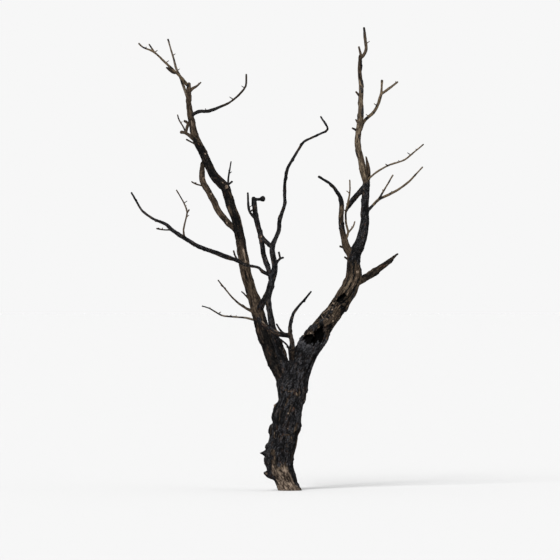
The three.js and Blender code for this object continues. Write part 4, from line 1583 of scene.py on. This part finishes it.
# ---- trunk and boughs
@dataclass
class Bough:
    """A bough or limb that needs nothing but its own plan."""

    growing: Growing
    name: str
    step: float = 6
    least_step: float = 3
    steps_to_girth: float = 7
    fork_sides: int = 12
    fork_step: float = 4
    knot_spacing: float = 85
    knot_size: float = 0.11  # in girths

    def build(self, finish: Material) -> None:
        """Models the bough with its forks and dresses it.

        Args:
            finish: Its material.
        """
        limb, scorch = self.growing.limbs[self.name], SCORCHES[self.name]
        step = max(self.least_step, float(limb.girths.mean()) / self.steps_to_girth)
        skin = Skin(limb, scorch.sides, min(self.step, step))
        self.shape(skin)
        RELIEF.carve(skin, scorch)
        for kind in SCATTERS:
            skin.scatter(kind)
        self.lay_marks(skin)
        skin.end_ragged(scorch.ragged)
        parts = [skin.object(f"{self.name}_bark")]
        for branch in self.branches():
            RELIEF.carve(branch, scorch)
            parts.append(branch.object("branch"))
        dress(joined(parts), scorch.slot, [self.name], finish)

    def shape(self, skin: Skin) -> None:
        """Gives the plain surface its joints and knots."""
        skin.swell_joints(self.growing.neighbours(self.name))
        skin.grow_knots(self.knot_spacing, self.knot_size)

    def lay_marks(self, skin: Skin) -> None:
        """Lays the marks that have their own place."""
        for mark in MARKS.get(self.name, ()):
            skin.mark(mark)

    def branches(self) -> list[Skin]:
        """Lays the plain surfaces of the forks that are part of the piece."""
        sides = max(self.fork_sides, SCORCHES[self.name].sides // 2)
        return [Skin(fork, sides, self.fork_step) for fork in self.growing.forks(self.name)]


@dataclass
class Trunk(Bough):
    """The leaning trunk, from its flat cut at the ground to the fork."""

    bare_height: float = 265  # the bark is burnt away below this on the front
    bare_from: float = 45  # and all round below this
    bare_side: float = -1.55  # middle of the bare face, in radians
    bare_width: float = 0.58
    bare_fade: float = 230  # how slowly it turns from char to bare wood
    bare_stray: float = 90  # how far up or down its edge strays
    stained: float = 0.38  # how much of the bare wood's paleness stains take
    weathered: float = 0.25  # how much paler it is at the ground than higher up
    edge_grain: Triple = (60, 60, 90)  # size of the waves in its edge, crosswise twice and along,
    stain_grain: Triple = (34, 34, 70)  # and of the stains
    spike_sides: int = 20

    def shape(self, skin: Skin) -> None:
        """Gives the plain surface its bulges, its large plates and its joints.

        Args:
            skin: The surface.
        """
        for bulge in (*TRUNK_BULGES, *Plates().bulges()):
            skin.push(self.swelling(skin, bulge))
        skin.swell_joints(self.growing.neighbours(self.name))

    def lay_marks(self, skin: Skin) -> None:
        """Bares the foot, then lays the marks."""
        self.bare_the_foot(skin)
        super().lay_marks(skin)

    def branches(self) -> list[Skin]:
        """Lays the plain surface of the spike."""
        spike = limb_from(self.growing.limbs[self.name], TRUNK_SPIKE, SPIKE_KEY)
        return [Skin(spike, self.spike_sides, self.fork_step)]

    def swelling(self, skin: Skin, bulge: Bulge) -> Array:
        """Works out how far one bulge stands out.

        Args:
            skin: The surface.
            bulge: The bulge.

        Returns:
            Lengths, for each point of the surface.
        """
        turn = wrapped(skin.angle - bulge.side)
        away = ((skin.middle[:, 2] - bulge.height) / bulge.tall) ** 2
        return bulge.out * np.exp(-(away[:, None] + (turn / bulge.wide) ** 2) ** bulge.edge)

    def bare_the_foot(self, skin: Skin) -> None:
        """Marks the wood that shows where the bark is burnt away at the foot, palest at the ground.

        Args:
            skin: The trunk's surface.
        """
        uneven = rough_noise(skin.grain() / np.array(self.edge_grain), Salt.FOOT)
        lift = 1 - np.abs(wrapped(skin.angle - self.bare_side)) / self.bare_width
        top = self.bare_height * np.clip(0.85 + 0.5 * lift, 0, 1) * smooth(lift + 0.9) + self.bare_from
        open_wood = smooth((top + self.bare_stray * uneven - skin.height()) / self.bare_fade + 0.5)
        stains = smooth(0.5 + 1.1 * rough_noise(skin.grain() / np.array(self.stain_grain), Salt.STAINS))
        weathered = 1 - self.weathered + self.weathered * smooth(1.1 - skin.height() / self.bare_height)
        skin.bare = np.maximum(skin.bare, open_wood * (1 - self.stained * stains) * weathered)
        skin.burn *= 1 - 0.5 * open_wood


@dataclass
class HollowBough(Bough):
    """The right bough: thick char at its foot, then a torn hollow and rotten wood."""

    sleeve_height: float = 1604  # height at which the thick char ends on the front
    sleeve_rise: float = 90  # how much further it reaches behind
    sleeve_jag: float = 62
    sleeve_teeth: float = 6
    sleeve_edge: float = 7  # height over which its edge drops
    sleeve_out: float = 14
    sleeve_fade: float = 160  # length over which it thins towards its foot
    sleeve_highlight: float = 1.6  # how strong the painted highlight along its edge is,
    edge_fade: float = 60  # and the length over which that fades
    rot: tuple[float, float] = (0.205, 0.305)  # from and to these shares of the bough
    rot_fade: float = 90
    rot_grain: float = 18
    rot_stretch: float = 1.5  # how much longer than wide a pit is
    rot_bare: float = 0.65  # how bare the wood between the pits is
    rot_depth: float = 13
    rot_height: float = 5  # how far the wood stands up between the pits
    rim: tuple[float, float] = (0.45, 0.3)  # how uneven a hollow's rim is, and how slowly it dips
    rim_black: float = 0.3  # how deep, as a share of the hollow, its rim is wholly black
    # how much painted shade darkens a hollow
    hollow_shade: float = 2.2
    heading_step: float = 20  # the bough's heading is taken over this length

    def lay_marks(self, skin: Skin) -> None:
        """Lays the rot and the marks, then the char's jagged end and the hollows.

        Args:
            skin: The surface.
        """
        self.rot_through(skin)
        super().lay_marks(skin)
        lip = self.end_sleeve(skin)
        for pocket in POCKETS:
            self.press(skin, pocket, lip)

    def rot_through(self, skin: Skin) -> None:
        """Pits the rotten stretch, with pale wood left standing between charred pits darkened with painted
        shade.

        Args:
            skin: The surface.
        """
        start, end = (share * skin.limb.length for share in self.rot)
        from_start, to_end = (smooth(length / self.rot_fade + 0.5)
                              for length in (skin.distance - start, end - skin.distance))
        zone = (from_start * to_end)[:, None] * smooth((0.35 - skin.outward[..., 1]) / Skin.WRAP)
        pits = rough_noise(skin.grain() / np.array([1, 1, self.rot_stretch]) / self.rot_grain, Salt.ROT)
        sunk = smooth((-pits - 0.02) / 0.5) * zone
        proud = smooth((pits - 0.3) / 0.3) * zone
        skin.push(self.rot_height * proud - self.rot_depth * sunk)
        skin.burn += (1 - skin.burn) * smooth(sunk / 0.5) - skin.burn * 0.5 * proud
        skin.bare = np.maximum(skin.bare, self.rot_bare * proud)
        # painted shade in the pits
        skin.relief -= sunk

    def end_sleeve(self, skin: Skin) -> Array:
        """Ends the thick char of the bough's foot in a jagged edge, with a painted highlight along it.

        Args:
            skin: The surface.

        Returns:
            How much of the thick char covers each point, from 0 to 1.
        """
        turn = np.stack([np.cos(skin.angle), np.sin(skin.angle), np.zeros(skin.angle.shape)], axis=-1)
        behind = (1 + skin.outward[..., 1]) / 2
        top = self.sleeve_height + self.sleeve_rise * behind
        jags = rough_noise(self.sleeve_teeth * turn, Salt.SLEEVE)
        below = top + self.sleeve_jag * jags - skin.height()
        lip = smooth(below / self.sleeve_edge)
        skin.push(self.sleeve_out * lip * np.exp(-np.maximum(0, below) / self.sleeve_fade))
        # painted highlight along the char's top edge
        skin.relief += self.sleeve_highlight * lip * np.exp(-np.maximum(0, below) / self.edge_fade)
        skin.burn += (1 - skin.burn) * lip
        skin.bare *= 1 - lip
        return lip

    def press(self, skin: Skin, pocket: Pocket, lip: Array) -> None:
        """Presses one hollow in from the front, with a sharp rim and painted shade inside.

        Args:
            skin: The surface.
            pocket: The hollow.
            lip: How much of the thick char covers each point and keeps the hollow shut.
        """
        distance = pocket.share * skin.limb.length
        here, ahead = skin.limb.smooth_middle(np.array([distance, distance + self.heading_step]))[:, [0, 2]]
        heading = (ahead - here) / np.linalg.norm(ahead - here)
        right, height = here + pocket.aside * np.array([heading[1], -heading[0]])
        lean = math.degrees(math.atan2(heading[0], heading[1])) + pocket.turn
        mouth = Mark(right, height, lean, Feature(pocket.wide, pocket.tall, out=0, burn=1))
        inside = (1 - lip) * skin.across_front(mouth, *self.rim)
        skin.points[..., 1] += pocket.deep * inside
        black = smooth(inside / self.rim_black)
        skin.burn = np.maximum(skin.burn, black)
        skin.bare *= 1 - black
        # painted shade deep in the hollow
        skin.relief -= self.hollow_shade * inside


def joined(parts: list[Piece]) -> Piece:
    """Joins pieces into one.

    Args:
        parts: The pieces, at least one.

    Returns:
        The first of them, which holds them all.
    """
    if len(parts) > 1:
        bpy.ops.object.select_all(action="DESELECT")
        for part in parts:
            part.select_set(True)
        bpy.context.view_layer.objects.active = parts[0]
        bpy.ops.object.join()
    return parts[0]


def dress(piece: Piece, slot: str, nodes: Sequence[str], *finishes: Material) -> None:
    """Gives a piece its finish and sets it on the tree's one body, in place of its solids.

    Args:
        piece: The finished mesh.
        slot: The record's slot; not used.
        nodes: The solids that it stands for.
        finishes: Its materials.
    """
    for finish in finishes:
        piece.data.materials.append(finish)
    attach(piece, "root")
    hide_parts(*nodes)
    LOG.info("%s: %d faces", piece.name, len(piece.data.polygons))


# ---- masses of twigs
@dataclass
class TwigMasses:
    """The masses of bare twigs, grown again by the seeded rule and carried on to finer twigs."""

    growing: Growing
    sides: int = 9
    fine_sides: int = 6
    fine_spacing: float = 270  # one fine twig to about this length of branch
    fine_length: float = 12
    fine_girth: float = 8
    fine_spread: float = 80  # how far fine twigs fan out, forward and back, in degrees,
    fine_fan: float = 110  # and to left and right
    fine_bend: float = 40
    fine_from: float = 0.2  # they grow from this share of a branch
    fine_range: float = 0.75  # over this much of it
    fine_taper: float = 0.6  # and are no thicker than this share of it
    room: float = 0.004  # how far a fine twig may reach past its mass's box, in metres
    kinds: tuple[str, ...] = ("charred_twigs", "scorched_twigs", "tan_twigs")

    def build(self) -> None:
        """Grows every mass and joins each kind into one piece."""
        slots = {row["node"]: row["material_slot"] for row in frame["record"]["subparts"]}
        for slot in self.kinds:
            names = [plan.name for plan in TWIGS if slots[plan.name] == slot]
            tubes = [tube for name in names for tube in self.tubes_of(name)]
            tones = sorted({tone for tube in tubes for tone in tube.tones}, key=list(Tone).index)
            piece = mesh_of(f"{slot}_grown", tubes, tones)
            dress(piece, slot, names, *(tone.value.material() for tone in tones))

    def tubes_of(self, name: str) -> list["Tube"]:
        """Grows one mass.

        Args:
            name: Its node's name.

        Returns:
            A tube for its stem and each fork, spur and fine twig.
        """
        stem = self.growing.limbs[name]
        main = [stem, *self.growing.forks(name)]
        spurs = self.spurs(stem, len(main) - 1)
        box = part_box(name)
        fine = [twig for limb in (*main, *spurs) for twig in self.fine_twigs(limb, box)]
        tone = TWIG_TONES[name]
        tubes = [Tube(stem, self.sides, tone, BLACK_FEET.get(name, 0))]
        for fork in main[1:]:
            galled = fork.girths[1] > fork.girths[0]
            tubes.append(Tube(fork, self.sides, Tone.CHARRED_BROWN if galled else tone))
        tubes += [Tube(limb, self.fine_sides, tone) for limb in (*spurs, *fine)]
        return tubes

    def spurs(self, stem: Limb, forks: int) -> list[Limb]:
        """Grows the small broken spurs, by the frame's own seeded rule.

        Args:
            stem: The mass's stem.
            forks: How many forks come before them in the order of keys.

        Returns:
            The spurs.
        """
        rule = GROWTH
        count = round(stem.length / rule.spur_spacing)
        grown = []
        for i in range(count):
            place, side, toward, length = draws(stem.key, i, apart=20, count=4)
            at = rule.spur_from + (rule.spur_to - rule.spur_from) * ((i + 0.2 + 0.6 * place) / count)
            lean = rule.spur_lean if side > 0.5 else -rule.spur_lean
            toward = rule.spur_spread * (2 * toward - 1)
            length = rule.spur_length * varied(length) + float(stem.girth_at(0)) / 2
            girth = min(rule.spur_girth, rule.spur_taper * float(stem.girth_at(at * stem.length)))
            plan = Plan("spur", "", at, (girth, rule.spur_taper * girth), ((length, lean, toward),))
            grown.append(limb_from(stem, plan, branch_key(stem.key, forks + i + 1)))
        return grown

    def fine_twigs(self, limb: Limb, box: tuple[Vector, Vector]) -> list[Limb]:
        """Carries a branch on to finer twigs that stay within the mass's reach.

        Args:
            limb: The branch.
            box: The mass's lowest and highest corners, in metres.

        Returns:
            The fine twigs, each with a bend in it.
        """
        key = limb.key + KEYS.fine
        count = round(limb.length / self.fine_spacing)
        low, high = np.array(box[0]) - self.room, np.array(box[1]) + self.room
        grown = []
        for i in range(count):
            place, lean, toward, length, bend = draws(key, i, apart=20, count=5)
            at = self.fine_from + self.fine_range * (i + place) / count
            lean = self.fine_fan * lean - self.fine_fan / 2
            toward = self.fine_spread * toward - self.fine_spread / 2
            carrier_girth = float(limb.girth_at(at * limb.length))
            length = self.fine_length * (0.5 + 0.9 * length) + carrier_girth / 2
            girth = min(self.fine_girth, self.fine_taper * carrier_girth)
            bend = self.fine_bend * bend - self.fine_bend / 2
            plan = Plan("fine", "", at, (girth, 0.8 * girth, 0.5 * girth), (
                (0.6 * length, lean, toward), (0.4 * length, lean + bend, toward)))
            twig = limb_from(limb, plan, key + i / FINE_KEYS)
            end = twig.middle_at(twig.length) * MM
            if np.all((low < end) & (end < high)):
                grown.append(twig)
        return grown


class Tube:
    """A closed tube with a pointed tip, as arrays of points and faces."""

    LEAST_STEP = 5.0
    STEPS_TO_GIRTH = 2.5
    BARK = 1.4  # how far a twig's bark stands off its stem
    ROUGH, LUMPY = 0.13, 0.18  # unevenness of two sizes, as shares of the radius
    BURNT_ABOVE = 0.4  # the noise, from -1 to 1, above which a twig is burnt black
    # Size and salt of the noise for its bark, its lumps and its burns
    PATTERNS = (((9, 9, 26), Salt.TWIG_BARK), ((40, 40, 60), Salt.TWIG_LUMPS), ((22, 22, 55), Salt.TWIG_BURN))

    def __init__(self, limb: Limb, sides: int, tone: Tone, black_foot: float = 0) -> None:
        """Lays the tube.

        Args:
            limb: What it follows.
            sides: Faces round it.
            tone: The tone that it takes.
            black_foot: The share of it, from its foot, that is charred instead.
        """
        self.tones = [Tone.CHARRED, tone]
        skin = Skin(limb, sides, max(self.LEAST_STEP, float(limb.girths.mean()) / self.STEPS_TO_GIRTH))
        rough, lumps, burnt = (noise(skin.grain() / np.array(size), salt) for size, salt in self.PATTERNS)
        skin.push(skin.plain * (self.ROUGH * rough + self.LUMPY * lumps) + self.BARK)
        body = skin.points[1:-1, :-1]
        rings = len(body)
        self.points = np.concatenate([body.reshape(-1, 3), skin.middle[-1:], skin.middle[:1]])
        start = np.arange(rings - 1)[:, None] * sides
        here = np.arange(sides)
        after = (here + 1) % sides
        quads = np.stack([start + here, start + after, start + sides + after, start + sides + here], axis=-1)
        self.quads = quads.reshape(-1, 4)
        burnt = burnt[1:rings, :-1] > self.BURNT_ABOVE
        charred = (skin.distance[1:rings, None] < black_foot * limb.length) | burnt
        self.quad_tones = [0 if black else 1 for black in charred.reshape(-1)]
        top = (rings - 1) * sides
        tip, foot = rings * sides, rings * sides + 1
        self.fans = np.concatenate([
            np.stack([top + here, top + after, np.full(sides, tip)], axis=-1),
            np.stack([after, here, np.full(sides, foot)], axis=-1)])


def mesh_of(name: str, tubes: list[Tube], tones: Sequence[Tone]) -> Piece:
    """Joins tubes into one mesh.

    Args:
        name: The piece's name.
        tubes: What it is made of.
        tones: The piece's tones in the order of its materials.

    Returns:
        The piece, with each face's tone as its material index.
    """
    points, faces, indices, offset = [], [], [], 0
    for tube in tubes:
        black, own = (tones.index(tone) for tone in tube.tones)
        points.append(tube.points * MM)
        for block in (tube.quads, tube.fans):
            faces += (block + offset).tolist()
        indices += [own if tone else black for tone in tube.quad_tones] + [own] * len(tube.fans)
        offset += len(tube.points)
    mesh = bpy.data.meshes.new(name)
    mesh.from_pydata(np.concatenate(points), [], faces)
    mesh.polygons.foreach_set("material_index", np.array(indices, np.int32))
    mesh.polygons.foreach_set("use_smooth", np.ones(len(mesh.polygons), bool))
    piece = bpy.data.objects.new(name, mesh)
    bpy.context.scene.collection.objects.link(piece)
    return piece


# ---- studio
@dataclass
class Studio:
    """A plain pale floor, soft light all round and a camera on the tree's broad face."""

    white: float = 0.93  # how bright the surroundings are
    key_light: float = 5.0
    key_turn: Triple = (58, 0, -20)
    key_spread: float = 20  # the angle that the light fills, in degrees
    fill_light: float = 0.8
    fill_turn: Triple = (66, 0, 62)
    fill_spread: float = 60
    floor_radius: float = 400
    floor_height: float = -0.0005
    floor_speckle: float = 0.004
    camera_place: Triple = (-0.108, -75.0, 2.273)
    view_width: float = 6.048  # what the camera takes in at the tree, in metres
    sensor: float = 36
    sight: float = 2000

    def build(self) -> None:
        """Sets up the floor, the light and the camera."""
        self.light_up()
        self.lay_floor()
        self.place_camera()
        bpy.context.scene.view_settings.view_transform = "Standard"

    def light_up(self) -> None:
        """Adds the bright surroundings and two broad suns."""
        world = bpy.data.worlds.new("studio")
        world.use_nodes = True
        backdrop = world.node_tree.nodes["Background"]
        backdrop.inputs["Color"].default_value = (1.0, 1.0, 1.0, 1.0)
        backdrop.inputs["Strength"].default_value = self.white
        bpy.context.scene.world = world
        self.sun("key", self.key_light, self.key_turn, self.key_spread)
        self.sun("fill", self.fill_light, self.fill_turn, self.fill_spread)

    def sun(self, name: str, strength: float, turn: Triple, spread: float) -> None:
        """Adds one sun.

        Args:
            name: Its name.
            strength: Its strength.
            turn: Its rotation in degrees.
            spread: The angle that it fills, in degrees.
        """
        bpy.ops.object.light_add(type="SUN", rotation=[math.radians(angle) for angle in turn])
        light = bpy.context.object
        light.name = name
        light.data.energy = strength
        light.data.angle = math.radians(spread)

    def lay_floor(self) -> None:
        """Adds the floor, as pale as the surroundings once it is lit."""
        bpy.ops.mesh.primitive_circle_add(vertices=128, radius=self.floor_radius, fill_type="NGON",
                                          location=(0, 0, self.floor_height))
        floor = bpy.context.object
        floor.name = "floor"
        graph = Graph("floor_paper")
        grain = graph.noise(graph.object_place(), 40, 2)
        lit = self.white + (self.key_light * math.cos(math.radians(self.key_turn[0]))
                            + self.fill_light * math.cos(math.radians(self.fill_turn[0]))) / math.pi
        pale = self.white / lit
        colour = graph.mix(grain, (pale - self.floor_speckle,) * 3, (pale + self.floor_speckle,) * 3)
        floor.data.materials.append(graph.finish(colour, 0.95, grain, 0.0002))

    def place_camera(self) -> None:
        """Adds the camera, level and square to the crown's broad face."""
        bpy.ops.object.camera_add(location=self.camera_place, rotation=(math.radians(90), 0, 0))
        camera = bpy.context.object
        camera.data.sensor_width = self.sensor
        camera.data.lens = self.sensor * -self.camera_place[1] / self.view_width
        camera.data.clip_end = self.sight
        bpy.context.scene.camera = camera


# ---- the whole tree
def write_sizes() -> None:
    """Updates the view layer.
    """
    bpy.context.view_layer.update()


def main() -> None:
    """Builds the tree piece by piece, then the studio round it."""
    logging.basicConfig(level=logging.INFO, format="%(message)s")
    growing = Growing()
    finishes = {finish.name: finish.material() for finish in BARK_FINISHES}
    kinds = {"trunk": Trunk, "right_bough": HollowBough}
    for name, scorch in SCORCHES.items():
        kinds.get(name, Bough)(growing, name).build(finishes[scorch.slot])
    TwigMasses(growing).build()
    Studio().build()
    write_sizes()


if __name__ == "__main__":
    main()
